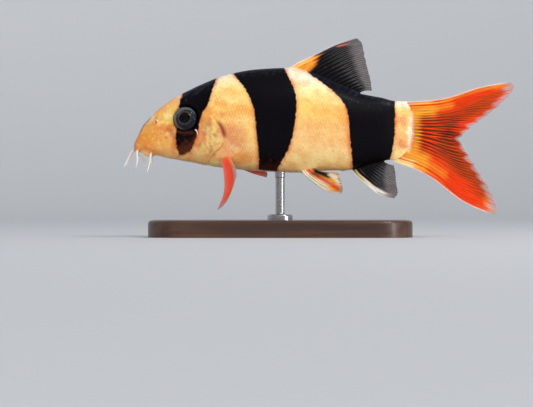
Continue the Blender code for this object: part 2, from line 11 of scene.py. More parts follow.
import bmesh
import bpy
import numpy as np
from bpy.props import FloatProperty, FloatVectorProperty, IntProperty, PointerProperty
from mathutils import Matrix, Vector

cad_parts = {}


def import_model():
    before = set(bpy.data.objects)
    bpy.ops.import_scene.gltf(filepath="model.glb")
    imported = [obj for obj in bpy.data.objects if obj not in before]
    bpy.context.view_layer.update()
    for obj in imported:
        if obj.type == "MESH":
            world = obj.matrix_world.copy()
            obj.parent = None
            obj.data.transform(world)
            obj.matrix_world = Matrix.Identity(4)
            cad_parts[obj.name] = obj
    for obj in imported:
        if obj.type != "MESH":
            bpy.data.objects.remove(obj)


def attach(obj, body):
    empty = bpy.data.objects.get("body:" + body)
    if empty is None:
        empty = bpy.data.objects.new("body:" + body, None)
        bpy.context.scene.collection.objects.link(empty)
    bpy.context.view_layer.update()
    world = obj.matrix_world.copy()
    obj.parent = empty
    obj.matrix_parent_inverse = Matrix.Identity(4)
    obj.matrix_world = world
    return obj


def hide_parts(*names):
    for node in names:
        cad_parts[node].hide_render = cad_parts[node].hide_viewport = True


bl_info = {
    "name": "Clown Loach on a Stand",
    "version": (1, 0, 0),
    "blender": (4, 5, 0),
    "location": "3D View > Sidebar > Loach",
    "description": "Builds a clown loach in its swimming pose, its display stand and a studio",
    "category": "Object",
}

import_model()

MM = 0.001

# Where the fish hangs over the base
SNOUT_AHEAD = 34.7
SWIM_HEIGHT = 24.0

# Outlines of the flesh (along, height)
BACK = (
    (0.0, -0.9), (0.6, -0.3), (1.05, 0.3), (1.9, 2.1), (3.35, 3.85), (6.2, 6.65),
    (10.5, 9.5), (16.2, 12.3), (22.0, 14.5), (29.0, 15.8), (36.0, 16.15), (41.3, 14.95),
    (46.6, 12.8), (53.2, 10.2), (59.0, 9.05), (62.0, 8.35), (66.5, 8.15),
)
BELLY = (
    (0.0, -3.5), (0.5, -3.8), (1.25, -3.55), (2.2, -4.2), (3.4, -4.7), (4.6, -4.6),
    (7.6, -5.2), (13.3, -6.2), (19.0, -7.3), (28.0, -8.2), (38.5, -8.7), (46.0, -8.2),
    (51.0, -8.1), (53.5, -7.3), (57.0, -6.2), (61.0, -5.75), (66.5, -5.6),
)

# Greatest half width of each section, and its height (along, value)
HALF_WIDTH = (
    (0.0, 1.7), (1.0, 2.1), (2.5, 2.6), (6.0, 3.6), (12.4, 4.9), (20.0, 6.1),
    (30.0, 6.6), (37.0, 6.3), (43.0, 5.8), (49.0, 5.0), (54.0, 4.2), (59.0, 3.2),
    (63.0, 1.8), (65.4, 0.62), (66.5, 0.2),
)
WIDEST_AT = (
    (0.0, -2.5), (6.0, -1.6), (12.0, -0.6), (20.0, 0.6), (30.0, 2.2), (40.0, 2.6),
    (50.0, 1.8), (60.0, 1.3), (66.5, 1.2),
)
FLESH_END = 66.5
NOSE_ROUNDING, TAIL_ROUNDING = 1.3, 0.35
ROUND_ABOVE, ROUND_BELOW = 2.0, 2.3
STALK_START = 58.0

# Rings of the skin's mesh for each millimetre (along, rings)
RINGS_PER_MM = ((0.0, 8.8), (7.0, 8.6), (22.0, 8.0), (27.0, 6.8), (60.0, 6.8), (FLESH_END, 8.0))

# Lines seen from the side (along, height)
GILL_LINE = (
    (16.6, 20.0), (17.0, 9.0), (19.0, 4.2), (20.8, 0.6), (20.9, -2.4), (18.6, -4.9),
    (14.8, -12.0),
)
END_LINE = (
    (65.6, 12.0), (65.8, 8.0), (66.2, 4.0), (66.1, 0.5), (65.6, -2.2), (64.5, -4.3),
    (62.6, -6.0), (60.2, -7.6),
)
CHEEK_CREASE = ((15.9, 3.6), (16.4, 1.4), (16.0, -1.2), (14.4, -3.6), (11.6, -5.0))
LATERAL_LINE = ((19.6, 4.1), (24.0, 3.2), (32.0, 2.7), (44.0, 2.5), (56.0, 2.2), (66.0, 1.5))
LATERAL_PORES = 38

# Edges of the dark bands from back to belly (along, height), front and rear
BANDS = (
    (
        ((11.2, 15.0), (11.5, 10.0), (11.0, 8.4), (10.6, 5.0), (10.1, 0.5), (10.2, -2.6),
         (11.0, -5.2)),
        ((21.6, 17.0), (19.6, 13.4), (17.8, 7.8), (16.3, 4.8), (15.4, 1.2), (14.4, -2.0),
         (13.0, -4.1), (10.0, -5.1)),
    ),
    (
        ((21.6, 18.0), (23.9, 14.3), (26.6, 10.6), (28.4, 6.5), (29.0, 1.6), (29.6, -5.0),
         (29.5, -12.0)),
        ((34.0, 20.0), (35.8, 15.9), (38.2, 10.2), (38.5, 5.9), (37.4, -0.9), (35.2, -5.9),
         (31.6, -12.0)),
    ),
    (
        ((38.6, 17.0), (41.6, 14.6), (45.2, 12.1), (48.9, 8.7), (50.6, 5.2), (51.1, 0.3),
         (52.2, -12.0)),
        ((62.0, 16.0), (61.95, 8.1), (61.9, 4.0), (61.8, 0.3), (61.2, -4.0), (60.2, -7.0),
         (58.0, -12.0)),
    ),
)

# Pale strip of belly under the middle band, and how deep the head's band reaches
BELLY_STRIP = 0.2
HEAD_BAND_LOW = 4.7

# Heights over which the gill cover's form fades towards the back and the belly
SWELL_TOP, SWELL_BOTTOM = (2.5, 5.5), (-6.6, -2.6)

# Shining patches of the gill cover (along, height, half length, half height)
SHEEN_CENTRES = ((19.0, 0.2, 2.1, 3.6), (17.8, -3.0, 2.2, 1.5), (18.6, 3.6, 0.9, 1.2))

# How much of the scarlet's light is left in the open gill slit
SLIT_LIGHT = 0.3

# Eye (along, height), and how deep its middle lies under the flank
EYE_AT = (12.25, 4.05)
EYE_RADIUS, EYE_DEPTH_RADIUS = 3.1, 2.25
EYE_SUNK = 0.85

# Nostril (along, height) and the radius of its rim, and the vent's distance along
NOSTRIL_AT, NOSTRIL_RING = (5.3, 3.1), 0.52
VENT_AT = 49.7

# Lines of the mouth on the left half of the snout's underside (along, side)
UPPER_LIP = ((4.3, -1.75), (3.0, -1.75), (1.75, -1.2), (1.25, 0.0))
LOWER_LIP = ((4.5, -1.25), (3.7, -1.2), (2.9, -0.75), (2.6, 0.0))
MOUTH_LINE = ((4.4, -1.5), (3.3, -1.45), (2.3, -0.95), (1.95, 0.0))
UPPER_LIP_RADIUS, LOWER_LIP_RADIUS = 0.42, 0.48

# Feelers: the root (along, side) of the left one, how proud the skin is there, the root's
# radius, then a middle point and the tip (along, side, height) of the left and right one
BARBELS = {
    "rostral_inner": (
        (0.35, -0.55), 0.1, 0.34,
        ((-1.4, -0.9, -5.6), (-2.3, -1.0, -7.4)), ((-1.3, 1.0, -5.5), (-2.1, 1.2, -7.2)),
    ),
    "rostral_outer": (
        (0.95, -1.45), 0.1, 0.34,
        ((0.85, -1.9, -6.0), (0.5, -2.0, -7.7)), ((1.8, 2.1, -5.3), (2.6, 2.5, -6.15)),
    ),
    "maxillary": (
        (4.1, -2.2), 0.1, 0.34,
        ((3.8, -2.7, -6.6), (3.2, -2.8, -8.8)), ((3.1, 2.8, -6.4), (2.15, 3.0, -7.7)),
    ),
    "mandibular": (
        (4.0, -0.95), 0.3, 0.28,
        ((4.15, -1.2, -5.9), (4.1, -1.3, -6.5)), ((4.2, 1.2, -5.9), (4.25, 1.3, -6.4)),
    ),
}

# Spine under each eye and flap at each nostril: the side, and points (along, height, proud)
SPINE = ((14.5, 1.2, -0.3), (14.9, 1.25, 0.2), (15.25, 0.7, 0.42), (15.3, 0.05, 0.45))
SPIKES = {
    "spine_left": (-1, SPINE),
    "spine_right": (1, SPINE),
    "flap_left": (-1, ((5.75, 3.0, -0.2), (5.85, 3.2, 0.25), (5.8, 3.45, 0.55), (5.6, 3.6, 0.75))),
    "flap_right": (1, ((4.9, 3.3, -0.2), (4.5, 3.55, 0.3), (4.1, 3.8, 0.6), (3.85, 3.95, 0.8))),
}

# Each fin is a net of rays from its leading to its trailing edge. A ray is four places
# from its root to its tip.
DORSAL_NET = (
    ((36.3, 0, 16.2), (42.2, 0, 19.0), (47.8, 0, 21.7), (53.0, 0, 23.25)),
    ((39.8, 0, 15.4), (44.9, 0, 18.1), (49.7, 0, 20.6), (54.2, 0, 22.1)),
    ((43.3, 0, 14.2), (47.5, 0, 16.4), (51.3, 0, 18.2), (54.8, 0, 19.2)),
    ((46.8, 0, 12.7), (50.0, 0, 14.3), (52.9, 0, 15.5), (55.5, 0, 16.1)),
    ((50.2, 0, 11.4), (52.4, 0, 12.4), (54.4, 0, 13.1), (56.2, 0, 13.3)),
    ((53.4, 0, 10.2), (54.6, 0, 10.7), (55.6, 0, 10.8), (56.5, 0, 10.7)),
)
ANAL_NET = (
    ((51.4, 0, -8.3), (54.5, 0, -11.0), (58.0, 0, -13.85), (61.9, 0, -14.85)),
    ((53.4, 0, -7.6), (56.2, 0, -9.9), (59.3, 0, -12.2), (62.7, 0, -13.5)),
    ((55.3, 0, -6.9), (57.6, 0, -8.4), (59.9, 0, -10.0), (62.3, 0, -11.0)),
    ((57.3, 0, -6.4), (59.0, 0, -7.2), (60.6, 0, -8.0), (62.1, 0, -8.6)),
    ((59.2, 0, -6.1), (60.1, 0, -6.5), (60.9, 0, -6.8), (61.7, 0, -7.0)),
)
CAUDAL_UPPER_NET = (
    ((66.0, 0, 8.1), (73.8, 0, 9.0), (81.8, 0, 11.5), (89.2, 0, 12.9)),
    ((66.1, 0, 6.8), (73.8, 0, 7.5), (82.2, 0, 10.0), (90.5, 0, 11.6)),
    ((66.3, 0, 5.3), (73.2, 0, 5.7), (80.7, 0, 7.6), (87.9, 0, 8.3)),
    ((66.3, 0, 4.0), (72.0, 0, 4.2), (78.2, 0, 4.9), (84.0, 0, 5.0)),
    ((66.3, 0, 2.6), (70.9, 0, 2.5), (75.5, 0, 2.6), (80.2, 0, 2.2)),
    ((66.3, 0, 1.1), (69.9, 0, 0.6), (73.5, 0, 0.1), (77.1, 0, -0.5)),
)
CAUDAL_LOWER_NET = (
    ((62.6, 0, -6.1), (70.3, 0, -9.8), (77.9, 0, -15.5), (85.3, 0, -18.85)),
    ((64.2, 0, -4.9), (71.0, 0, -8.4), (78.5, 0, -13.9), (86.3, 0, -17.3)),
    ((65.2, 0, -3.6), (71.2, 0, -6.5), (78.0, 0, -10.8), (84.8, 0, -13.3)),
    ((65.8, 0, -2.2), (70.9, 0, -4.2), (76.7, 0, -7.4), (82.4, 0, -9.3)),
    ((66.1, 0, -0.8), (70.3, 0, -2.1), (75.1, 0, -4.1), (79.8, 0, -5.2)),
    ((66.3, 0, 0.75), (69.9, 0, 0.25), (73.5, 0, -0.25), (77.1, 0, -0.85)),
)
TAIL_PARTING = 0.2
PELVIC_NET = (
    ((39.4, -2.6, -8.3), (42.4, -3.7, -10.8), (45.8, -4.7, -13.1), (49.4, -5.4, -13.6)),
    ((40.4, -2.9, -8.2), (43.3, -4.1, -10.3), (46.4, -5.1, -12.0), (49.5, -5.8, -12.5)),
    ((41.4, -3.2, -8.1), (44.3, -4.4, -9.5), (46.9, -5.3, -10.5), (49.1, -6.0, -10.9)),
    ((42.4, -3.4, -7.9), (44.9, -4.7, -8.5), (46.8, -5.5, -8.7), (48.3, -6.0, -8.8)),
)
PECTORAL_HANGING_NET = (
    ((20.9, -5.0, -5.5), (21.6, -7.2, -9.4), (21.6, -8.6, -13.5), (20.1, -9.2, -17.6)),
    ((21.5, -5.0, -5.3), (22.6, -8.0, -9.0), (22.7, -9.9, -12.8), (21.4, -10.9, -16.5)),
    ((22.1, -5.0, -5.1), (23.5, -8.6, -8.4), (23.7, -10.8, -11.6), (22.8, -12.2, -14.5)),
    ((22.7, -5.0, -4.9), (24.0, -8.9, -7.4), (24.4, -11.2, -9.4), (24.0, -12.6, -11.2)),
)
PECTORAL_SWEPT_NET = (
    ((20.9, 5.0, -5.5), (24.6, 7.0, -7.2), (28.2, 8.4, -8.7), (31.6, 9.2, -9.7)),
    ((21.5, 5.0, -5.3), (24.9, 7.6, -6.6), (28.3, 9.4, -7.7), (31.7, 10.6, -8.6)),
    ((22.1, 5.0, -5.1), (25.0, 8.0, -6.0), (27.9, 10.1, -6.8), (30.6, 11.6, -7.4)),
    ((22.7, 5.0, -4.9), (24.9, 8.1, -5.4), (26.8, 10.2, -5.8), (28.6, 11.9, -6.1)),
)

# Stand, with the rod's fillet at its foot, the rim of its cup and how deep it enters the belly
BASE_SIZE = (62.0, 34.0, 4.0)
BASE_CORNER, BASE_EDGE = 9.0, 0.8
ROD_RADIUS, COLLAR_RADIUS, COLLAR_THICK, COLLAR_EDGE = 1.1, 3.0, 1.4, 0.5
ROD_FILLET, CUP_RIM, ROD_SUNK = 0.35, 0.12, 0.25
SHARP_ANGLE = math.radians(35)

# Studio, in metres, and its area lights: their place, their size and their colour
FLOOR_RADIUS, WALL_BEND, WALL_HEIGHT = 0.95, 1.0, 1.5
LAMPS = {
    "fill": ((-0.1, -0.95, 0.13), (1.1, 0.24), (1.0, 0.99, 0.97)),
    "side": ((0.62, -0.36, 0.14), (0.1, 0.32), (1.0, 0.93, 0.86)),
    "top": ((0.31, -0.17, 0.5), (0.1, 0.07), (0.97, 0.98, 1.0)),
}
SUN_ANGLE, SUN_WAY = math.radians(28), (-0.3, 0.78, -0.5)

# The photograph's frame, and the pixel of the origin of along and height
PHOTO_WIDTH, PHOTO_HEIGHT = 533, 407
SNOUT_PIXEL = (134.0, 135.96)
PIXELS_PER_MM = 4.21
SENSOR_WIDTH = 36.0

# Colours by name: what they are for, and red, green and blue as a screen shows them
COLOURS = {
    "gold": ("Upper flank", (248, 202, 104)),
    "straw": ("Flank under the back", (254, 228, 152)),
    "cream": ("Pale skin near the back", (254, 242, 218)),
    "apricot": ("Lower flank", (244, 194, 122)),
    "peach": ("Belly", (255, 216, 144)),
    "amber": ("Warm patches of the flank", (236, 158, 58)),
    "orange": ("Snout and cheek", (232, 128, 54)),
    "rust": ("Red spots and the edges of the bands", (196, 74, 34)),
    "rose": ("Pink flesh behind the gill cover", (232, 146, 104)),
    "lemon": ("Shining yellow of the gill cover", (244, 214, 106)),
    "mauve": ("Smudges along the lateral line", (205, 150, 118)),
    # Smoke also lays part of the dark strip along the snout's outline, which is partly painted shade
    "smoke": ("Grey smudges of the gill cover", (142, 112, 96)),
    "pearl": ("Shining flecks of the gill cover", (226, 232, 196)),
    "ink": ("Dark bands", (7, 5, 9)),
    "slate": ("Blue sheen of the bands on the back", (44, 45, 62)),
    "umber": ("Brown ends of the bands", (82, 38, 20)),
    "flame": ("Orange-red of the fins", (238, 62, 12)),
    "copper": ("Brown-orange of the tail's rear", (168, 70, 22)),
    "scarlet": ("Red of the paired fins", (255, 92, 66)),
    # Coral on the pectoral fins' front edge is partly a painted highlight
    "coral": ("Front edge of the paired fins", (255, 132, 112)),
    "tangerine": ("Yellow-orange roots of the fins", (250, 164, 50)),
    "sepia": ("Brown web between the tail's rays", (92, 34, 14)),
    "ash": ("Grey margins of the fins", (112, 108, 108)),
    "bone": ("Tips of the rays, feelers and spines", (244, 236, 228)),
    "iris": ("Iris", (11, 15, 20)),
    "brass": ("Ring round the pupil", (196, 140, 66)),
    "walnut": ("Wood of the base", (74, 46, 30)),
    "steel": ("Rod of the stand", (190, 190, 192)),
    "backdrop": ("Floor and backdrop", (206, 208, 212)),
}

# Washes of colour over the skin: the colour, a line from one place to another (along,
# height), its reach, and its strength
SKIN_WASHES = (
    ("orange", (0.0, -1.0), (4.0, -1.2), 3.0, 0.95),
    ("amber", (1.6, 0.2), (5.4, 4.0), 1.3, 0.5),
    ("amber", (6.6, 5.2), (9.6, 8.2), 1.6, 0.7),
    ("gold", (7.0, 4.6), (9.8, 6.6), 1.1, 0.85),
    ("straw", (7.9, 4.4), (8.8, 5.2), 0.7, 0.7),
    ("amber", (4.0, -1.2), (9.0, -2.2), 1.9, 0.7),
    ("gold", (5.6, -2.4), (8.6, -2.6), 0.9, 0.45),
    ("orange", (6.0, 1.6), (9.0, 1.8), 0.8, 0.75),
    ("copper", (8.8, 1.0), (9.8, -0.6), 0.6, 0.65),
    ("copper", (5.3, 4.2), (5.4, 3.9), 0.4, 0.5),
    ("copper", (7.7, -0.5), (7.8, -0.5), 0.35, 0.7),
    ("copper", (2.6, -2.6), (4.6, -3.6), 0.4, 0.4),
    # The smoke and slate washes below lay a dark strip along the snout's upper outline: partly the snout's
    # own dark band, partly painted shade
    ("smoke", (-0.2, -1.2), (1.4, 1.4), 0.45, 0.8),
    ("slate", (1.0, 0.9), (3.8, 4.4), 0.42, 0.8),
    ("coral", (4.4, 5.3), (10.4, 9.7), 0.4, 0.45),
    ("orange", (4.6, -3.6), (9.6, -4.4), 0.8, 0.45),
    ("peach", (9.0, -5.2), (22.0, -7.0), 1.2, 0.7),
    ("apricot", (12.0, -4.2), (18.0, -5.2), 1.3, 0.7),
    ("orange", (15.6, 3.4), (16.4, -1.6), 1.3, 0.5),
    ("rose", (16.4, 0.2), (16.6, -2.6), 1.5, 0.5),
    ("copper", (15.7, -2.5), (15.9, -2.7), 0.5, 0.5),
    ("orange", (17.4, 6.2), (18.6, 3.4), 1.1, 0.55),
    ("cream", (19.8, 13.4), (24.2, 14.6), 1.0, 0.6),
    ("straw", (20.6, 11.6), (24.6, 12.2), 1.3, 0.6),
    ("gold", (20.4, 9.8), (26.0, 10.0), 1.1, 0.6),
    ("amber", (19.8, 7.6), (21.6, 7.2), 1.0, 0.75),
    ("straw", (22.6, 8.4), (25.8, 8.2), 0.7, 0.5),
    ("amber", (25.6, 6.4), (27.8, 5.6), 0.9, 0.75),
    ("amber", (21.4, 5.2), (24.6, 5.0), 0.8, 0.5),
    ("straw", (22.6, 3.4), (26.6, 3.6), 0.6, 0.35),
    ("orange", (22.2, 1.4), (24.6, 0.2), 1.6, 0.45),
    ("rose", (22.6, 0.6), (25.0, -1.8), 1.7, 0.6),
    ("lemon", (27.6, 2.4), (28.2, -1.4), 0.9, 0.5),
    ("orange", (23.4, -4.6), (26.4, -5.4), 1.3, 0.55),
    ("amber", (26.0, -4.0), (28.8, -4.6), 1.4, 0.5),
    ("copper", (17.2, 3.6), (18.4, -1.4), 1.8, 0.28),
    ("copper", (22.6, 1.0), (24.6, -1.6), 1.9, 0.2),
    ("rose", (21.4, -3.4), (22.8, -3.6), 0.9, 0.5),
    ("cream", (37.0, 14.8), (40.6, 12.8), 1.9, 1.0),
    ("cream", (36.6, 16.1), (39.2, 15.8), 0.7, 0.8),
    ("straw", (39.6, 11.0), (44.0, 9.6), 1.4, 0.6),
    ("gold", (39.6, 7.4), (45.6, 6.8), 1.8, 0.5),
    ("amber", (48.4, 6.4), (50.0, 3.6), 1.1, 0.8),
    ("amber", (43.0, 5.4), (46.4, 5.8), 1.0, 0.4),
    ("orange", (50.4, 1.4), (51.6, -5.6), 0.7, 0.6),
    ("apricot", (38.6, 0.6), (48.0, -1.0), 1.9, 0.5),
    ("straw", (39.0, -5.2), (48.6, -5.8), 1.5, 0.5),
    ("straw", (38.6, -5.6), (49.6, -6.2), 1.5, 0.5),
    ("tangerine", (24.0, -5.2), (26.2, -5.8), 1.2, 0.3),
    ("peach", (36.6, -5.4), (50.0, -6.0), 1.2, 0.4),
    ("cream", (62.2, 7.6), (66.4, 7.2), 1.3, 1.0),
    ("gold", (62.4, 6.0), (65.6, 5.6), 1.1, 0.8),
    ("amber", (63.0, 2.2), (64.6, -1.2), 1.6, 0.5),
    ("rust", (63.7, 4.0), (64.1, 3.0), 0.9, 0.6),
    ("rust", (63.2, -1.8), (64.0, -2.4), 1.0, 0.6),
    ("cream", (65.5, 3.6), (65.4, -1.6), 0.5, 0.8),
    ("straw", (61.0, -4.8), (64.6, -4.4), 1.1, 0.95),
)
# Washes over the dark bands, as on the skin; the slate ones along the back are a painted blue sheen
DARK_WASHES = (
    ("slate", (11.0, 10.4), (20.0, 14.4), 1.1, 0.8),
    ("slate", (23.0, 15.8), (36.0, 17.0), 1.0, 0.6),
    ("slate", (42.0, 15.4), (53.0, 11.2), 1.0, 0.5),
    ("slate", (53.0, 11.2), (62.0, 9.2), 1.1, 0.8),
    ("umber", (10.8, 0.9), (14.0, 0.6), 0.4, 0.8),
    ("umber", (10.8, -3.6), (13.4, -3.4), 1.3, 1.0),
    ("umber", (14.6, -0.6), (13.8, -2.8), 0.6, 0.7),
    ("umber", (29.0, -7.6), (36.0, -7.6), 1.2, 0.35),
)

# Fins: their net, the node they stand for, rays, the parts of the grid, thickness of the
# web and of its margin, and the rise of a ray
FINS = {
    "dorsal": (DORSAL_NET, "dorsal_fin", 16, (240, 96), (0.34, 0.1, 0.1)),
    "anal": (ANAL_NET, "anal_fin", 12, (180, 84), (0.32, 0.1, 0.1)),
    "tail_upper": (CAUDAL_UPPER_NET, "caudal_fin_upper", 12, (252, 128), (0.4, 0.1, 0.08)),
    "tail_lower": (CAUDAL_LOWER_NET, "caudal_fin_lower", 12, (252, 128), (0.4, 0.1, 0.08)),
    "pelvic_left": (PELVIC_NET, "pelvic_fin_left", 7, (112, 72), (0.32, 0.1, 0.18)),
    "pelvic_right": (PELVIC_NET, "pelvic_fin_right", 7, (112, 72), (0.32, 0.1, 0.18)),
    "pectoral_left": (
        PECTORAL_HANGING_NET, "pectoral_fin_left", 12, (144, 90), (0.34, 0.1, 0.18),
    ),
    "pectoral_right": (
        PECTORAL_SWEPT_NET, "pectoral_fin_right", 12, (144, 90), (0.34, 0.1, 0.18),
    ),
}

# How each kind of fin is painted: its colour, washes as on the skin, washes of the web
# alone, the colour and width of its front edge, its margin's start on the first and on the
# last ray, breadth and clearness, and how dark the web is
FIN_PAINT = {
    "dorsal": (
        "ink",
        (
            ("rust", (41.2, 14.8), (43.6, 18.9), 0.45, 0.7),
            ("tangerine", (39.6, 15.4), (42.0, 17.4), 0.9, 1.0),
            ("tangerine", (35.6, 15.0), (39.8, 16.0), 1.5, 1.0),
            ("tangerine", (38.6, 16.8), (42.4, 18.6), 0.75, 1.0),
            ("straw", (35.6, 15.6), (41.4, 18.5), 0.6, 0.5),
            ("slate", (44.0, 20.0), (50.0, 22.4), 0.3, 0.8),
            ("coral", (48.6, 21.3), (51.4, 21.9), 0.2, 0.55),
        ),
        (),
        ("bone", 0.02), (0.74, 0.44, 0.22, 0.35), 0.05,
    ),
    "anal": (
        "ink",
        (
            ("straw", (51.2, -8.5), (57.0, -13.3), 0.75, 1.0),
            ("bone", (54.0, -11.1), (60.8, -14.3), 0.6, 0.9),
        ),
        (),
        ("bone", 0.03), (0.72, 0.28, 0.2, 0.35), 0.05,
    ),
    "tail": (
        "flame",
        (
            ("copper", (73.0, 3.0), (84.0, 7.4), 2.0, 0.55),
            ("copper", (80.0, 6.2), (87.6, 10.6), 1.1, 0.6),
            ("copper", (73.6, -2.0), (84.8, -13.4), 2.3, 0.8),
            ("tangerine", (73.5, 8.7), (87.0, 12.4), 0.7, 0.4),
            ("tangerine", (86.0, 12.0), (89.4, 12.6), 1.1, 0.35),
            ("tangerine", (83.6, -15.6), (85.4, -17.6), 0.9, 0.35),
            ("tangerine", (69.6, 6.1), (75.0, 7.2), 0.9, 0.5),
            ("tangerine", (68.6, -5.6), (73.6, -9.0), 1.0, 0.45),
            ("tangerine", (66.5, 5.4), (70.6, 5.8), 1.3, 1.0),
            ("tangerine", (65.4, -4.2), (68.8, -5.5), 1.3, 1.0),
            ("tangerine", (67.0, 4.6), (67.4, 0.6), 0.9, 0.9),
            ("tangerine", (67.4, 0.6), (66.8, -3.4), 0.9, 0.9),
            ("tangerine", (65.4, 8.0), (70.4, 8.4), 0.9, 0.75),
            ("tangerine", (63.6, -6.2), (68.6, -8.0), 0.9, 0.85),
            ("cream", (65.9, 5.4), (66.1, 0.6), 0.4, 0.6),
            ("cream", (66.1, 0.6), (65.2, -3.6), 0.4, 0.6),
            ("sepia", (74.6, 0.6), (76.8, -0.5), 1.2, 0.55),
            ("straw", (62.0, -6.2), (65.6, -6.9), 0.9, 0.9),
            ("cream", (64.6, 8.4), (69.4, 8.7), 0.45, 0.9),
        ),
        (
            ("sepia", (69.4, 3.6), (76.0, 3.4), 1.5, 0.85),
            ("sepia", (69.0, 0.9), (76.4, -0.2), 2.0, 0.95),
            ("sepia", (69.4, -2.0), (77.4, -4.6), 1.7, 0.85),
            ("sepia", (75.6, 4.6), (82.0, 6.6), 1.3, 0.35),
            ("sepia", (76.6, -5.8), (83.0, -12.0), 1.7, 0.6),
            ("ink", (75.0, 0.9), (77.0, -1.6), 1.2, 0.5),
        ),
        ("bone", 0.03), (0.87, 0.9, 0.11, 0.4), 0.12,
    ),
    "pelvic": (
        "tangerine",
        (
            ("cream", (39.4, -8.9), (44.6, -12.0), 1.7, 1.0),
            ("straw", (42.6, -9.8), (45.4, -11.6), 0.6, 0.5),
            ("flame", (41.4, -8.4), (43.6, -9.5), 0.35, 0.9),
            ("flame", (43.8, -9.7), (48.4, -12.6), 0.45, 0.85),
            ("ink", (43.2, -8.5), (46.0, -9.4), 0.8, 0.98),
            ("cream", (46.6, -9.2), (48.8, -11.2), 0.5, 0.8),
        ),
        (),
        ("bone", 0.05), (0.86, 0.86, 0.14, 0.3), 0.02,
    ),
    "pectoral": (
        "scarlet",
        (
            ("tangerine", (23.2, -5.6), (24.4, -7.6), 0.6, 0.6),
            ("rose", (20.8, -5.3), (22.9, -4.8), 0.7, 0.85),
        ),
        (),
        # The coral front edge is partly the fin's own pink, partly a painted highlight along it
        ("coral", 0.2), (0.88, 0.88, 0.12, 0.3), 0.08,
    ),
}

# Shares across the paired fins over which the rear edge turns clear
REAR_EDGE = {"pectoral": (0.72, 0.86), "pelvic": (0.94, 1.0)}

# Dark and bright fins: the light of the margin's grey, its share of the web, and the light
# of the rays and of their own margin
DARK_MARGIN, BRIGHT_MARGIN = (0.75, 0.92, 1.0, 2.6), (2.2, 0.82, 1.12, 1.8)


def screen(colour):
    """Linear light of a colour as a screen shows it, from 0 to 255."""
    shares = [value / 255 for value in colour]
    return tuple(s / 12.92 if s <= 0.04045 else ((s + 0.055) / 1.055) ** 2.4 for s in shares)


def size(name, description, default, low=0.0):
    """A size in millimetres that the sidebar shows."""
    return FloatProperty(name=name, description=description, default=default, min=low)


class LoachColours(bpy.types.PropertyGroup):
    """Colours of the fish, its stand and the studio"""

    __annotations__ = {
        name: FloatVectorProperty(
            name=name.capitalize(), description=use, subtype="COLOR", size=3,
            min=0.0, max=1.0, default=screen(shown),
        )
        for name, (use, shown) in COLOURS.items()
    }


class LoachSkin(bpy.types.PropertyGroup):
    """Sizes of the skin's forms, in millimetres"""

    turns: IntProperty(
        name="Columns", description="Columns of the skin's mesh round the body",
        default=176, min=24,
    )
    fineness: FloatProperty(
        name="Fineness", description="Rings of the skin's mesh, against the usual number",
        default=1.0, min=0.1, subtype="FACTOR",
    )
    scale_length: size("Scale length", "Length of one scale along the body", 0.68, 0.1)
    scale_tall: size("Scale height", "Height of one scale round the body", 1.35, 0.1)
    scale_rise: size("Scale relief", "How far the scales stand out", 0.012)
    gill_swell: size("Gill cover", "How far the gill cover's rear edge stands out", 0.45)
    gill_slit: size("Gill slit", "Depth of the slit behind the gill cover", 0.4)
    lip_rise: size("Lips", "How far the lips stand out", 0.3)
    crease: size("Creases", "Depth of the creases of the head", 0.09)
    dapple: FloatProperty(
        name="Dapple", description="Unevenness of the colours", default=1.2, min=0.0,
        subtype="FACTOR",
    )


class LoachStudio(bpy.types.PropertyGroup):
    """Camera and lights"""

    distance: FloatProperty(
        name="Distance", description="Distance of the camera from the fish",
        default=0.6, min=0.1, unit="LENGTH",
    )
    key: FloatProperty(name="Key", description="Main light, high in front", default=1.3, min=0.0)
    fill: FloatProperty(name="Fill", description="Wide light in front", default=4.0, unit="POWER")
    side: FloatProperty(name="Side", description="Strip light by the tail", default=1.6, unit="POWER")
    top: FloatProperty(name="Top", description="Small light high over the tail", default=1.2, unit="POWER")
    sky: FloatProperty(name="Sky", description="Light from all round", default=0.55, min=0.0)


class LoachSettings(bpy.types.PropertyGroup):
    """All settings of the model"""

    colours: PointerProperty(type=LoachColours)
    skin: PointerProperty(type=LoachSkin)
    studio: PointerProperty(type=LoachStudio)


def follow(table, x):
    """Values at x of a smooth line through the table's points that never overshoots."""
    places, values = (np.array(column, float) for column in zip(*table))
    steps = np.diff(places)
    slopes = np.diff(values) / steps
    before, after = slopes[:-1], slopes[1:]
    alike = before * after > 0
    total = np.where(alike, before + after, 1.0)
    inner = np.where(alike, 2 * before * after / total, 0.0)
    tangents = np.concatenate(([slopes[0]], inner, [slopes[-1]]))
    x = np.clip(x, places[0], places[-1])
    at = np.clip(np.searchsorted(places, x, side="right") - 1, 0, len(steps) - 1)
    s = (x - places[at]) / steps[at]
    level = values[at] * (1 + 2 * s) * (1 - s) ** 2 + values[at + 1] * s * s * (3 - 2 * s)
    bend = tangents[at] * s * (1 - s) ** 2 - tangents[at + 1] * s * s * (1 - s)
    return level + steps[at] * bend


def shares_of(count, t):
    """Share of each of the evenly spaced points in a smooth curve through them, at each t."""
    spans = count - 1
    at = np.clip((t * spans).astype(int), 0, spans - 1)
    s = t * spans - at
    four = (
        0.5 * (-s + 2 * s ** 2 - s ** 3),
        0.5 * (2 - 5 * s ** 2 + 3 * s ** 3),
        0.5 * (s + 4 * s ** 2 - 3 * s ** 3),
        0.5 * (s ** 3 - s ** 2),
    )
    shares = np.zeros((len(t), count + 2))
    rows = np.arange(len(t))
    for i, share in enumerate(four):
        shares[rows, at + i] += share
    ahead, behind = shares[:, 0], shares[:, -1]
    inner = shares[:, 1:-1].copy()
    inner[:, 0] += 2 * ahead
    inner[:, 1] -= ahead
    inner[:, -1] += 2 * behind
    inner[:, -2] -= behind
    return inner


def through(points, t):
    """Points at each t, from 0 to 1, of a smooth curve through evenly spaced points."""
    return shares_of(len(points), np.atleast_1d(t)) @ np.array(points, float)


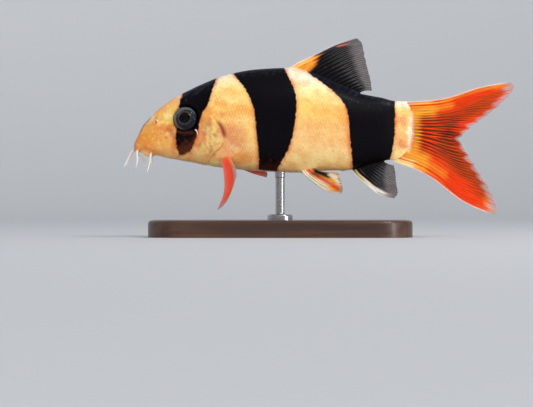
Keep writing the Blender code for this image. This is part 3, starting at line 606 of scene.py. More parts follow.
def smoothstep(low, high, x):
    """Rises smoothly from 0 at low to 1 at high."""
    s = np.clip((x - low) / (high - low), 0.0, 1.0)
    return s * s * (3 - 2 * s)


def hill(distance, reach):
    """Smooth hill that is 1 at its middle and falls off past its reach."""
    return np.exp(-((distance / reach) ** 2))


def nearest(line, points):
    """Distance of each point from a line of points, and how far along the line that is."""
    best = np.full(len(points), np.inf)
    where = np.zeros(len(points))
    for i, (start, end) in enumerate(zip(line[:-1], line[1:])):
        run = end - start
        share = np.clip((points - start) @ run / max(run @ run, 1e-9), 0.0, 1.0)
        gap = np.linalg.norm(points - start - share[:, None] * run, axis=1)
        nearer = gap < best
        best = np.where(nearer, gap, best)
        where = np.where(nearer, i + share, where)
    return best, where / (len(line) - 1)


def behind_line(line, points, steps=40):
    """Distance of each point behind a line drawn from back to belly, negative ahead of it."""
    drawn = through(line, np.linspace(0.0, 1.0, steps + 1))
    gap, where = nearest(drawn, points)
    at = np.clip((where * steps).astype(int), 0, steps - 1)
    run = drawn[at + 1] - drawn[at]
    offset = points - drawn[at]
    side = run[:, 0] * offset[:, 1] - run[:, 1] * offset[:, 0]
    return np.where(side > 0, gap, -gap)


def rumple(points, wave, seed, waves=9):
    """Smooth uneven heights from -1 to 1, made of plane waves in random directions."""
    draw = np.random.default_rng(seed)
    total = np.zeros(len(points))
    for _ in range(waves):
        way = draw.normal(size=points.shape[1])
        way *= 2 * math.pi / wave * draw.uniform(0.6, 1.6) / np.linalg.norm(way)
        total += np.sin(points @ way + draw.uniform(0, 2 * math.pi))
    return total / math.sqrt(waves)


def world(places):
    """Places on the fish as points of the model, in metres."""
    return (np.asarray(places) - (SNOUT_AHEAD, 0.0, -SWIM_HEIGHT)) * MM


def section(along):
    """Greatest half width, its height, the back's height and the belly's height."""
    grown = np.sqrt(1 - (1 - np.clip(along / NOSE_ROUNDING, 0.0, 1.0)) ** 2)
    left = np.clip((FLESH_END - along) / TAIL_ROUNDING, 0.0, 1.0)
    closing = np.sqrt(1 - (1 - left) ** 2)
    middle = follow(WIDEST_AT, along)
    top = middle + (follow(BACK, along) - middle) * grown
    low = middle + (follow(BELLY, along) - middle) * grown
    return follow(HALF_WIDTH, along) * grown * closing, middle, top, low


def side_at(along, height):
    """Half width of the flesh at a height."""
    wide, middle, top, low = section(along)
    above = height > middle
    reach = np.where(above, top - middle, low - middle)
    share = np.clip((height - middle) / reach, 0.0, 1.0)
    power = np.where(above, ROUND_ABOVE, ROUND_BELOW)
    return wide * (1 - share ** power) ** (1 / power)


def under_at(along, side):
    """Height of the flesh's underside at a distance from the middle plane."""
    wide, middle, top, low = section(along)
    share = np.minimum(np.abs(side) / wide, 0.97)
    return middle - (middle - low) * (1 - share ** ROUND_BELOW) ** (1 / ROUND_BELOW)


def slopes_of(surface, x, y, step=0.05):
    """Slopes of a function of two values, along each of them."""
    slope_x = (surface(x + step, y) - surface(x - step, y)) / (2 * step)
    slope_y = (surface(x, y + step) - surface(x, y - step)) / (2 * step)
    return slope_x, slope_y


def flank_point(side, along, height, out=0.0):
    """Place on the flank, or a little outside it, with the flank's outward direction."""
    slope_along, slope_up = slopes_of(side_at, along, height)
    outward = np.stack((-slope_along, side + 0 * slope_up, -slope_up), axis=-1)
    outward /= np.linalg.norm(outward, axis=-1, keepdims=True)
    place = np.stack((along, side * side_at(along, height), height), axis=-1)
    return place + outward * out, outward


def under_point(along, side, out=0.0):
    """Place on the underside, or a little below it."""
    slope_along, slope_side = slopes_of(under_at, along, side)
    outward = np.array((slope_along, slope_side, -1.0))
    return np.array((along, side, under_at(along, side))) + outward / np.linalg.norm(outward) * out


def end_at(height):
    """Distance along at which the flesh ends, at a height."""
    line = through(END_LINE, np.linspace(0.0, 1.0, 81))[::-1]
    return np.interp(height, line[:, 1], line[:, 0])


def flesh(along, turn):
    """Places on the plain flesh, for a distance along and a turn round the body."""
    wide, middle, top, low = section(along)
    across, up = np.cos(turn), np.sin(turn)
    power = 2 / np.where(up > 0, ROUND_ABOVE, ROUND_BELOW)
    reach = np.where(up > 0, top - middle, middle - low)
    height = middle + np.sign(up) * np.abs(up) ** power * reach
    side = np.sign(across) * wide * np.abs(across) ** power
    forward = smoothstep(STALK_START, FLESH_END, along) * (FLESH_END - end_at(height))
    return np.stack((along - forward, side, height), axis=-1)


def colours():
    return bpy.context.scene.clown_loach.colours


def colour(name):
    return np.array(getattr(colours(), name))


def tone(name, strength=1.0):
    """One of the sidebar's colours for a finish, made darker or lighter."""
    return tuple(channel * strength for channel in getattr(colours(), name))


def paint(points, base, washes, soft=0.6, uneven=0.0):
    """Colours at places seen from the side: a base colour under washes of others."""
    tint = np.array(base, float) * np.ones((len(points), 3))
    for name, start, end, reach, strength in washes:
        gap, _ = nearest(np.array((start, end), float), points)
        gap = gap * np.clip(1 + uneven, 0.4, 1.6)
        share = strength * (1 - smoothstep(reach * (1 - soft), reach * (1 + soft), gap))
        tint += (colour(name) - tint) * share[:, None]
    return tint


def new_piece(name, bm):
    """Object of a bmesh, with smooth shading."""
    mesh = bpy.data.meshes.new(name)
    bm.to_mesh(mesh)
    bm.free()
    made = bpy.data.objects.new(name, mesh)
    bpy.context.scene.collection.objects.link(made)
    mesh.shade_smooth()
    return made


def add_values(made, name, values):
    """Stores numbers, vectors or colours at the points of a piece's mesh."""
    kinds = {1: ("FLOAT", "value"), 3: ("FLOAT_VECTOR", "vector"), 4: ("FLOAT_COLOR", "color")}
    wide = 1 if values.ndim == 1 else values.shape[1]
    kind, field = kinds[wide]
    layer = made.data.attributes.new(name, kind, "POINT")
    layer.data.foreach_set(field, np.asarray(values, np.float32).ravel())


def add_colour(made, name, tint, opacity=1.0):
    """Stores a colour with its opacity at the points of a piece's mesh."""
    add_values(made, name, np.column_stack((tint, np.ones(len(tint)) * opacity)))


def co_of(bm):
    """Places of all vertices of a bmesh."""
    return np.array([v.co for v in bm.verts])


def move_to(bm, places):
    """Moves all vertices of a bmesh."""
    for v, place in zip(bm.verts, places):
        v.co = place


class Finish:
    """A new material, with short ways to add nodes and link them."""

    def __init__(self, name):
        self.material = bpy.data.materials.new(name)
        self.material.use_nodes = True
        self.tree = self.material.node_tree
        self.shader = self.tree.nodes["Principled BSDF"]

    def plug(self, node, values):
        """Sets a node's sockets, or links them where the value is another node's output."""
        for key, value in values.items():
            socket = node.inputs[key]
            if isinstance(value, bpy.types.NodeSocket):
                self.tree.links.new(value, socket)
            elif socket.type == "RGBA" and len(value) == 3:
                socket.default_value = (*value, 1.0)
            else:
                socket.default_value = value

    def node(self, kind, values, **settings):
        made = self.tree.nodes.new("ShaderNode" + kind)
        for key, value in settings.items():
            setattr(made, key, value)
        self.plug(made, values)
        return made

    def math(self, operation, *values):
        return self.node("Math", dict(enumerate(values)), operation=operation).outputs[0]

    def times(self, first, second):
        return self.math("MULTIPLY", first, second)

    def mix(self, share, first, second, blend="MIX"):
        """Blend of two colours."""
        values = {0: share, 6: first, 7: second}
        return self.node("Mix", values, data_type="RGBA", blend_type=blend).outputs[2]

    def wash(self, tint, share, name, strength=1.0):
        """Lays one of the sidebar's colours over another colour."""
        return self.mix(share, tint, tone(name, strength))

    def shade(self, tint, value):
        """Makes a colour darker or lighter by a value round 1."""
        grey = self.node("CombineXYZ", {axis: value for axis in range(3)}).outputs[0]
        return self.mix(1.0, tint, grey, "MULTIPLY")

    def ease(self, value, low, high, start=0.0, end=1.0):
        """Turns a range of values smoothly into another one."""
        values = {"Value": value, "From Min": low, "From Max": high, "To Min": start, "To Max": end}
        return self.node("MapRange", values, interpolation_type="SMOOTHSTEP").outputs[0]

    def stored(self, name, output="Fac"):
        """What a piece's mesh holds under a name."""
        return self.node("Attribute", {}, attribute_name=name).outputs[output]

    def millimetres(self, stretch=(1.0, 1.0, 1.0)):
        """Object coordinates in millimetres."""
        place = self.node("TexCoord", {}).outputs["Object"]
        sizes = tuple(s / MM for s in stretch)
        return self.node("Mapping", {"Vector": place, "Scale": sizes}).outputs[0]

    def on_map(self, name, across, out):
        """Places on a UV map, stretched by two scales."""
        place = self.node("UVMap", {}, uv_map=name).outputs[0]
        return self.node("Mapping", {"Vector": place, "Scale": (across, out, 1.0)}).outputs[0]

    def noise(self, place, scale, detail=3.0, roughness=0.5):
        values = {"Vector": place, "Scale": scale, "Detail": detail, "Roughness": roughness}
        return self.node("TexNoise", values).outputs["Fac"]

    def bump(self, height, distance):
        """Bump of a height from 0 to 1, with its depth in millimetres."""
        return self.node("Bump", {"Height": height, "Distance": distance * MM}).outputs[0]

    def give(self, made):
        made.data.materials.clear()
        made.data.materials.append(self.material)


def mottle(look, tint, coarse, medium, fine):
    """Clouds of warmer, paler and pinker colour over the painted skin."""
    dapple = bpy.context.scene.clown_loach.skin.dapple
    tint = look.wash(tint, look.ease(coarse, 0.42, 0.66, 0.0, 0.42 * dapple), "amber")
    tint = look.wash(tint, look.ease(medium, 0.52, 0.72, 0.0, 0.36 * dapple), "straw")
    tint = look.wash(tint, look.ease(medium, 0.47, 0.3, 0.0, 0.34 * dapple), "rose")
    return look.shade(tint, look.ease(fine, 0.3, 0.7, 0.93, 1.05))


def scale_net(look, medium):
    """Lattice that is 1 at the middle of each scale, and how clear the scales are."""
    along, around, clear = look.node(
        "SeparateXYZ", {0: look.stored("scale_place", "Vector")},
    ).outputs
    wander = look.math("MULTIPLY_ADD", medium, 0.7, -0.35)
    row = look.math("COSINE", look.times(look.math("ADD", along, wander), 2 * math.pi))
    column = look.math("COSINE", look.times(around, 2 * math.pi))
    return look.math("MULTIPLY_ADD", look.times(row, column), 0.5, 0.5), clear


def paint_scale_shine_and_shade(look, tint, cell, clear):
    """Painted highlights on the middles of the scales, and painted shade in the warm seams between them.
    """
    tint = look.wash(tint, look.times(look.ease(cell, 0.45, 1.0, 0.0, 0.15), clear), "cream")
    return look.wash(tint, look.times(look.ease(cell, 0.35, 0.0, 0.0, 0.09), clear), "orange")


def freckle(look, tint, place):
    """Few small mauve spots."""
    cells = look.node("TexVoronoi", {"Vector": place, "Scale": 0.42, "Randomness": 1.0})
    return look.wash(tint, look.ease(cells.outputs["Distance"], 0.16, 0.07, 0.0, 0.35), "mauve")


def gill_shine(look, tint, place):
    """Yellow, grey and pearly patches of the gill cover, and where the pearly ones are."""
    sheen = look.stored("sheen")
    crumple = look.noise(place, 0.6, 4.0, 0.55)
    flecks = look.noise(place, 1.5, 4.0, 0.6)
    yellow = look.times(sheen, look.ease(crumple, 0.46, 0.62, 0.0, 0.6))
    tint = look.wash(tint, yellow, "lemon")
    grey = look.times(sheen, look.ease(crumple, 0.48, 0.38, 0.0, 0.4))
    tint = look.wash(tint, grey, "smoke")
    glimmer = look.times(sheen, look.ease(flecks, 0.5, 0.68, 0.0, 0.5))
    glimmer = look.times(glimmer, look.ease(crumple, 0.36, 0.52))
    return look.wash(tint, glimmer, "pearl"), glimmer


def band_over(look, tint, glint, coarse, medium, fine):
    """Dark bands with ragged edges, a rust-red fringe and painted slate glints on their scales, and where
    they cover the skin.
    """
    ragged = look.math("MULTIPLY_ADD", medium, 0.9, -0.45)
    ragged = look.math("MULTIPLY_ADD", fine, 0.3, ragged)
    reach = look.math("ADD", look.stored("band"), look.math("SUBTRACT", ragged, 0.15))
    patches = look.ease(coarse, 0.35, 0.65, 0.25, 0.7)
    tint = look.wash(tint, look.times(look.ease(reach, -1.0, 0.0), patches), "rust")
    dark = look.ease(reach, -0.14, 0.16)
    # Painted glints: slate sheen over the middles of the scales inside the dark bands
    glossy = look.ease(glint, 0.6, 1.0, 0.0, 0.1)
    deep = look.wash(look.stored("dark_tint", "Color"), glossy, "slate")
    return look.mix(dark, tint, deep), dark


def skin_finish():
    """Painted skin with ragged dark bands, scales, a shining gill cover and a satin coat."""
    look = Finish("loach_skin")
    place = look.millimetres()
    coarse = look.noise(place, 0.32, 4.0, 0.6)
    medium = look.noise(place, 1.3, 4.0, 0.6)
    fine = look.noise(place, 5.0, 3.0, 0.55)
    cell, clear = scale_net(look, medium)
    glint = look.times(cell, clear)

    tint = mottle(look, look.stored("tint", "Color"), coarse, medium, fine)
    # Painted highlights and shade of the scales
    tint = paint_scale_shine_and_shade(look, tint, cell, clear)
    tint = freckle(look, tint, place)
    tint, glimmer = gill_shine(look, tint, place)
    tint = look.wash(tint, look.stored("gill_shadow"), "scarlet", SLIT_LIGHT)
    tint, dark = band_over(look, tint, glint, coarse, medium, fine)
    relief = look.math("MULTIPLY_ADD", glint, 0.5, look.times(fine, 0.5))
    look.plug(look.shader, {
        "Base Color": tint,
        "Roughness": look.ease(medium, 0.3, 0.7, 0.36, 0.5),
        "Metallic": look.times(glimmer, 0.3),
        "Normal": look.bump(relief, 0.025),
        "Subsurface Weight": 0.12,
        "Subsurface Radius": (1.0, 0.45, 0.2),
        "Subsurface Scale": 0.6 * MM,
        "Coat Weight": look.ease(dark, 0.0, 1.0, 0.12, 0.02),
        "Coat Roughness": 0.18,
        "Specular IOR Level": look.ease(dark, 0.0, 1.0, 0.3, 0.06),
    })
    return look


def stations(density):
    """Distances along of the rings of the skin, closer where the body turns or has detail."""
    snout = np.linspace(0, 1, 400) ** 2 * 2.0
    fine = np.concatenate((snout, np.linspace(2.0, FLESH_END, 3000)[1:]))
    wide, _, top, low = section(fine)
    rings = np.interp(fine, *zip(*RINGS_PER_MM))
    widening, deepening = 0.5 * np.diff(wide), 0.25 * np.diff(top - low)
    runs = np.sqrt(np.diff(fine) ** 2 + widening ** 2 + deepening ** 2)
    passed = np.concatenate(([0.0], np.cumsum(runs * (rings[1:] + rings[:-1]) / 2 * density)))
    count = int(passed[-1])
    return np.interp(np.linspace(0.0, passed[-1], count + 1), passed, fine)


def flat(points):
    """Places seen from the side."""
    return points[:, (0, 2)]


def folded(points):
    """The same points moved to the left side, and which way each came."""
    way = np.where(points[:, 1] > 0, -1.0, 1.0)
    return points * np.column_stack((np.ones(len(way)), way, np.ones(len(way)))), way


def gill_fade(height):
    """Share of the gill cover's form that is left at a height."""
    return (1 - smoothstep(*SWELL_TOP, height)) * smoothstep(*SWELL_BOTTOM, height)


def lip_line(half_line):
    """Line on the left half of the snout's underside."""
    half = [under_point(*place) for place in half_line]
    return through(half, np.linspace(0.0, 1.0, 13))


def root_line(net, steps=12):
    """Line along the roots of a fin's rays."""
    return through([ray[0] for ray in net], np.linspace(0.0, 1.0, steps + 1))


def gill_relief(skin, seen, past_gill):
    """The gill cover stands out, with a groove along its edge and a slit behind it."""
    height = seen[:, 1]
    fade = gill_fade(height)
    cover = skin.gill_swell * smoothstep(-7.0, -0.4, past_gill) * fade
    slit_fade = smoothstep(-8.6, -5.0, height) * (1 - smoothstep(2.6, 4.4, height))
    slit = -skin.gill_slit * hill(past_gill - 0.15, 0.75) * slit_fade
    rise = cover + (slit - cover) * smoothstep(-0.14, 0.14, past_gill)
    rise -= 0.06 * hill(past_gill + 0.75, 0.25) * fade
    crease, _ = nearest(through(CHEEK_CREASE, np.linspace(0, 1, 25)), seen)
    return rise - skin.crease * hill(crease, 0.32)


def mouth_relief(skin, places):
    """Lips with the mouth between them, and a soft mound under each feeler."""
    rise = np.zeros(len(places))
    for line, radius in ((UPPER_LIP, UPPER_LIP_RADIUS), (LOWER_LIP, LOWER_LIP_RADIUS)):
        gap, _ = nearest(lip_line(line), places)
        rise += skin.lip_rise * hill(gap, radius * 0.85)
    gap, _ = nearest(lip_line(MOUTH_LINE), places)
    rise -= 0.5 * hill(gap, 0.17)
    for root, _, radius, _, _ in BARBELS.values():
        gap = np.linalg.norm(places - under_point(*root), axis=1)
        rise += 0.28 * hill(gap, radius * 1.5)
    return rise


def nostril_gap(places):
    """Distance from the middle of the nostril."""
    return np.linalg.norm(places - flank_point(-1, *NOSTRIL_AT)[0], axis=1)


def root_relief(places, outward):
    """Flesh that rises to the fins' roots, and the vent in front of the anal fin."""
    along, side, _ = places.T
    rise = np.zeros(len(places))
    for net, reach, lift in ((PELVIC_NET, 0.9, 0.35), (PECTORAL_HANGING_NET, 0.9, 0.4)):
        gap, _ = nearest(root_line(net), places)
        rise += lift * hill(gap, reach)
    ridge = smoothstep(36.4, 38.4, along) * (1 - smoothstep(51.6, 54.4, along))
    rise += 0.45 * ridge * (outward[:, 2] > 0) * hill(side, 0.75)
    keel = smoothstep(51.2, 52.4, along) * (1 - smoothstep(58.4, 60.2, along))
    rise += 0.35 * keel * (outward[:, 2] < 0) * hill(side, 0.7)
    gap = np.linalg.norm(places - (VENT_AT, 0.0, follow(BELLY, VENT_AT)), axis=1)
    return rise + 0.3 * hill(gap, 0.55) - 0.25 * hill(gap, 0.2)


def relief_of(skin, places, outward):
    """How far each place of the skin stands out from the plain flesh."""
    seen = flat(places)
    past_gill = behind_line(GILL_LINE, seen)
    rise = gill_relief(skin, seen, past_gill)
    rise += 0.07 * sheen_of(seen) * rumple(places, 1.3, 5)
    rise += mouth_relief(skin, places)
    gap = nostril_gap(places)
    rise += 0.26 * hill(gap - NOSTRIL_RING, 0.19) - 0.4 * (1 - smoothstep(0.08, 0.36, gap))
    rise += root_relief(places, outward)

    gap, where = nearest(through(LATERAL_LINE, np.linspace(0, 1, 81)), seen)
    pores = 0.6 + 0.4 * np.cos(where * 2 * math.pi * LATERAL_PORES)
    rise -= 0.05 * hill(gap, 0.16) * pores * smoothstep(0.0, 1.0, past_gill)
    rise += 0.02 * rumple(places, 2.6, 11) * (1 - smoothstep(-1.0, 2.0, past_gill))
    u, v, clear = scale_places(skin, places, past_gill).T
    return rise + skin.scale_rise * np.cos(2 * math.pi * u) * np.cos(2 * math.pi * v) * clear


def sheen_of(seen):
    """Share of the gill cover's shine at places seen from the side."""
    total = np.zeros(len(seen))
    for along, height, long, tall in SHEEN_CENTRES:
        gap = np.hypot((seen[:, 0] - along) / long, (seen[:, 1] - height) / tall)
        total = np.maximum(total, 1 - smoothstep(0.6, 1.35, gap))
    return total * (1 - smoothstep(-0.25, 0.05, behind_line(GILL_LINE, seen)))


def scale_places(skin, places, past_gill):
    """Place of each point in the lattice of scales, and how clear the scales are there."""
    along, side, height = places.T
    wide, middle, top, low = section(np.clip(along, 0.5, FLESH_END - 1.0))
    reach = np.where(height > middle, top - middle, middle - low)
    up = np.arctan2((height - middle) / reach, np.abs(side) / wide)
    girth = up * np.sqrt((wide ** 2 + ((top - low) / 2) ** 2) / 2)
    clear = smoothstep(0.2, 2.6, past_gill) * (1 - 0.6 * smoothstep(-0.9, -1.4, up))
    clear *= 1 - smoothstep(63.5, 66.0, along)
    return np.column_stack((along / skin.scale_length, girth / skin.scale_tall, clear))


def sink_eyes(places):
    """Opens a socket behind each eyeball, with a soft groove round it."""
    centre, outward = flank_point(-1, *EYE_AT, -EYE_SUNK)
    apart = places - centre
    out = apart @ outward
    gap = np.linalg.norm(apart - out[:, None] * outward, axis=1)
    near = (gap < 4.4) & (out > -1.6)
    ball = EYE_DEPTH_RADIUS * np.sqrt(np.clip(1 - (gap / EYE_RADIUS) ** 2, 0.0, 1.0))
    level = out - 0.2 * hill(gap - EYE_RADIUS, 0.2) + 0.1 * hill(gap - EYE_RADIUS - 0.45, 0.3)
    inside = np.minimum(-ball - 0.12, level)
    target = inside + (level - inside) * smoothstep(EYE_RADIUS - 0.22, EYE_RADIUS - 0.02, gap)
    return places + np.where(near, target - out, 0.0)[:, None] * outward


def dark_reach(places):
    """Distance inside the dark bands, negative outside them."""
    seen = flat(places)
    along, _, height = places.T
    best = np.full(len(places), -20.0)
    for i, (front, rear) in enumerate(BANDS):
        inside = np.minimum(behind_line(front, seen), -behind_line(rear, seen))
        if i == 0:
            inside = np.minimum(inside, height + HEAD_BAND_LOW)
            inside = inside * (0.5 + 0.5 * smoothstep(-3.0, 0.0, height))
        if i == 1:
            inside = np.minimum(inside, (height - follow(BELLY, along) - BELLY_STRIP) * 1.6)
        best = np.maximum(best, inside)
    return best


def skin_tint(places):
    """Colours of the pale skin: a run of colours from belly to back, and the washes."""
    along, _, height = places.T
    low, top = follow(BELLY, along), follow(BACK, along)
    level = np.clip((height - low) / (top - low), 0.0, 1.0)
    stops = (0.0, 0.12, 0.4, 0.62, 0.86, 1.0)
    names = ("peach", "peach", "apricot", "gold", "straw", "cream")
    run = np.array([colour(name) for name in names])
    base = np.column_stack([np.interp(level, stops, run[:, i]) for i in range(3)])
    uneven = 0.3 * rumple(places, 3.2, 21) + 0.16 * rumple(places, 1.1, 22)
    tint = paint(flat(places), base, SKIN_WASHES, 0.8, uneven)
    gap = nostril_gap(places)
    tint += (colour("coral") * 1.1 - tint) * (0.5 * hill(gap - NOSTRIL_RING, 0.24))[:, None]
    # Painted shade in the nostril's hole
    tint += (colour("umber") - tint) * (0.5 * hill(gap, 0.22))[:, None]
    gap, _ = nearest(root_line(PECTORAL_HANGING_NET), places)
    tint += (colour("rose") - tint) * (0.8 * hill(gap, 0.9))[:, None]
    draw = np.random.default_rng(3)
    for spot in np.arange(41.5, 51.0, 0.7):
        at = (spot + draw.uniform(-0.3, 0.3), 2.5 + draw.uniform(-0.7, 0.4))
        gap = np.hypot((along - at[0]) / 0.35, (height - at[1]) / 0.9)
        share = draw.uniform(0.1, 0.45) * (1 - smoothstep(0.2, 1.5, gap))
        tint += (colour("mauve") - tint) * share[:, None]
    return tint


def refine(bm, chosen):
    """Splits the edges of chosen faces, always in the same order."""
    faces = [f for f, wanted in zip(bm.faces, chosen) if wanted]
    edges = list(dict.fromkeys(e for f in faces for e in f.edges))
    bmesh.ops.subdivide_edges(bm, edges=edges, cuts=1, use_grid_fill=True)


def sphere_places(co, rings):
    """Distance along and turn round the body of points of a sphere."""
    share = np.arccos(np.clip(co[:, 2] / np.linalg.norm(co, axis=1), -1.0, 1.0)) / math.pi
    along = np.interp(share * (len(rings) - 1), np.arange(len(rings)), rings)
    return along, np.arctan2(co[:, 1], co[:, 0])


def fine_places(places):
    """Places that hold small forms: mouth, nostrils, the eyes' rims and the gill slits."""
    left, _ = folded(places)
    mouth, _ = nearest(lip_line(MOUTH_LINE), left)
    nostril = nostril_gap(left)
    eye = np.linalg.norm(left - flank_point(-1, *EYE_AT)[0], axis=1)
    past_gill = behind_line(GILL_LINE, flat(left))
    slit = (np.abs(past_gill) < 0.3) & (left[:, 2] < 4.0) & (left[:, 2] > -7.0)
    return (mouth < 0.9) | (nostril < 1.0) | (np.abs(eye - EYE_RADIUS) < 0.4) | slit


def outward_at(along, turn, places, step=0.002):
    """Outward directions of the plain flesh."""
    run_along = flesh(along + step, turn) - flesh(along - step, turn)
    run_round = flesh(along, turn + step) - flesh(along, turn - step)
    outward = np.cross(run_round, run_along)
    length = np.linalg.norm(outward, axis=1)
    outward /= np.maximum(length, 1e-12)[:, None]
    middle = places * (1, 0, 0)
    middle[:, 2] = follow(WIDEST_AT, places[:, 0])
    outward[np.sum(outward * (places - middle), axis=1) < 0] *= -1
    outward[(length < 1e-12) | (places[:, 0] < 0.02)] = (-1.0, 0.0, 0.0)
    outward[along > FLESH_END - 0.05] = (1.0, 0.0, 0.0)
    return outward


def gill_shadow(height, past_gill):
    """Share of dark red in the open slit and along the gill cover's lower edge."""
    slit = hill(past_gill - 0.55, 0.5) * smoothstep(-1.2, 0.4, height)
    slit *= 1 - smoothstep(2.6, 3.8, height)
    crease = 0.14 * hill(past_gill - 0.15, 0.3) * smoothstep(-7.0, -3.0, height)
    crease *= 1 - smoothstep(2.0, 4.0, height)
    return np.maximum(slit * 0.9, crease)


class OBJECT_OT_loach_skin(bpy.types.Operator):
    """Makes the skin of the head, torso and tail stalk as one piece"""

    bl_idname = "clown_loach.add_skin"
    bl_label = "Add Skin"

    def execute(self, context):
        skin = context.scene.clown_loach.skin
        rings = stations(skin.fineness)
        bm = bmesh.new()
        bmesh.ops.create_uvsphere(
            bm, u_segments=skin.turns, v_segments=len(rings) - 1, radius=1.0,
        )
        middles = np.array([f.calc_center_median() for f in bm.faces])
        refine(bm, fine_places(flesh(*sphere_places(middles, rings))))

        along, turn = sphere_places(co_of(bm), rings)
        places = flesh(along, turn)
        left, way = folded(places)
        outward = outward_at(along, turn, places)
        outward[:, 1] *= way
        shaped = sink_eyes(left + relief_of(skin, left, outward)[:, None] * outward)
        shaped[:, 1] *= way
        move_to(bm, world(shaped))
        bmesh.ops.recalc_face_normals(bm, faces=bm.faces)
        made = new_piece("skin", bm)
        self.paint_skin(made, skin, left)
        skin_finish().give(made)
        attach(made, "root")
        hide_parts("head", "torso", "tail_stalk")
        return {"FINISHED"}

    def paint_skin(self, made, skin, left):
        """Stores the colours of the skin and what its finish needs to know of each place."""
        seen = flat(left)
        past_gill = behind_line(GILL_LINE, seen)
        blotches = 0.4 * rumple(left, 1.7, 23)
        add_colour(made, "tint", skin_tint(left))
        add_colour(made, "dark_tint", paint(seen, colour("ink"), DARK_WASHES, 0.9, blotches))
        add_values(made, "band", dark_reach(left))
        add_values(made, "scale_place", scale_places(skin, left, past_gill))
        add_values(made, "sheen", sheen_of(seen))
        add_values(made, "gill_shadow", gill_shadow(left[:, 2], past_gill))


def eye_axes(side):
    """Middle of an eyeball and three directions: forward, up and outward."""
    centre, outward = flank_point(side, *EYE_AT, -EYE_SUNK)
    up = np.array((0.0, 0.0, 1.0)) - outward[2] * outward
    up /= np.linalg.norm(up)
    forward = np.cross(up, outward) * side
    return centre, forward, up, outward


def turned(profile, segments):
    """Closed form turned about the height axis from a profile of (distance, height)."""
    bm = bmesh.new()
    verts = [bm.verts.new((distance, 0.0, height)) for distance, height in profile]
    edges = [bm.edges.new(pair) for pair in zip(verts, verts[1:])]
    bmesh.ops.spin(
        bm, geom=verts + edges, axis=(0, 0, 1), cent=(0, 0, 0), steps=segments,
        angle=2 * math.pi, use_merge=True, use_duplicate=False,
    )
    bmesh.ops.remove_doubles(bm, verts=bm.verts, dist=1e-5)
    bmesh.ops.recalc_face_normals(bm, faces=bm.faces)
    return bm


def set_in_eye(bm, side):
    """Moves a form turned about the height axis into an eye, facing outward."""
    centre, forward, up, outward = eye_axes(side)
    co = co_of(bm)
    places = centre + co[:, :1] * forward + co[:, 1:2] * up + co[:, 2:] * outward
    move_to(bm, world(places))
    bmesh.ops.recalc_face_normals(bm, faces=bm.faces)
    return np.hypot(co[:, 0], co[:, 1]), np.arctan2(co[:, 1], co[:, 0])


def iris_finish():
    """Dark iris with fine rays, a thin brass ring and a black pupil."""
    look = Finish("loach_iris")
    ring = look.stored("from_pupil")
    place = look.millimetres()
    streaks = look.noise(look.stored("spokes", "Vector"), 4.0, 3.0, 0.6)
    cloud = look.noise(place, 1.4, 3.0)
    tint = look.wash(tone("iris"), look.ease(streaks, 0.35, 0.75, 0.0, 0.4), "slate")
    # Lighter slate ring at the iris's rim: partly its own colour, partly a painted reflection
    outer = look.times(look.ease(ring, 2.2, 2.5), look.ease(ring, 2.85, 2.6))
    tint = look.wash(tint, look.times(outer, 0.4), "slate", 1.5)
    ripple = look.math("SINE", look.times(ring, 24.0))
    tint = look.wash(tint, look.ease(ripple, 0.0, 1.0, 0.0, 0.14), "slate")
    groove = look.times(look.ease(ring, 2.0, 2.25), look.ease(ring, 2.5, 2.25))
    tint = look.wash(tint, look.times(groove, 0.8), "ink")
    gilt = look.times(look.ease(ring, 1.34, 1.46), look.ease(ring, 1.72, 1.52))
    gilt = look.times(gilt, look.ease(cloud, 0.36, 0.6, 0.35, 1.0))
    tint = look.wash(tint, gilt, "brass")
    pupil = look.ease(ring, 1.36, 1.28)
    tint = look.mix(pupil, tint, (0.002, 0.002, 0.003))
    look.plug(look.shader, {
        "Base Color": tint,
        "Roughness": 0.4,
        "Metallic": look.times(gilt, 0.6),
        "Normal": look.bump(look.times(streaks, look.ease(ring, 1.4, 1.9)), 0.02),
        "Specular IOR Level": look.ease(pupil, 0.0, 1.0, 0.2, 0.0),
    })
    return look


def cornea_finish():
    """Clear, wet outer shell of the eye."""
    look = Finish("loach_cornea")
    clear = look.node("BsdfTransparent", {"Color": (0.8, 0.84, 0.88)})
    gloss = look.node("BsdfGlossy", {"Color": (1.0, 1.0, 1.0), "Roughness": 0.03})
    facing = look.node("Fresnel", {"IOR": 1.36})
    share = look.times(facing.outputs[0], 0.42)
    shell = look.node("MixShader", {0: share, 1: clear.outputs[0], 2: gloss.outputs[0]})
    output = look.tree.nodes["Material Output"]
    look.tree.links.new(shell.outputs[0], output.inputs["Surface"])
    look.tree.nodes.remove(look.shader)
    return look


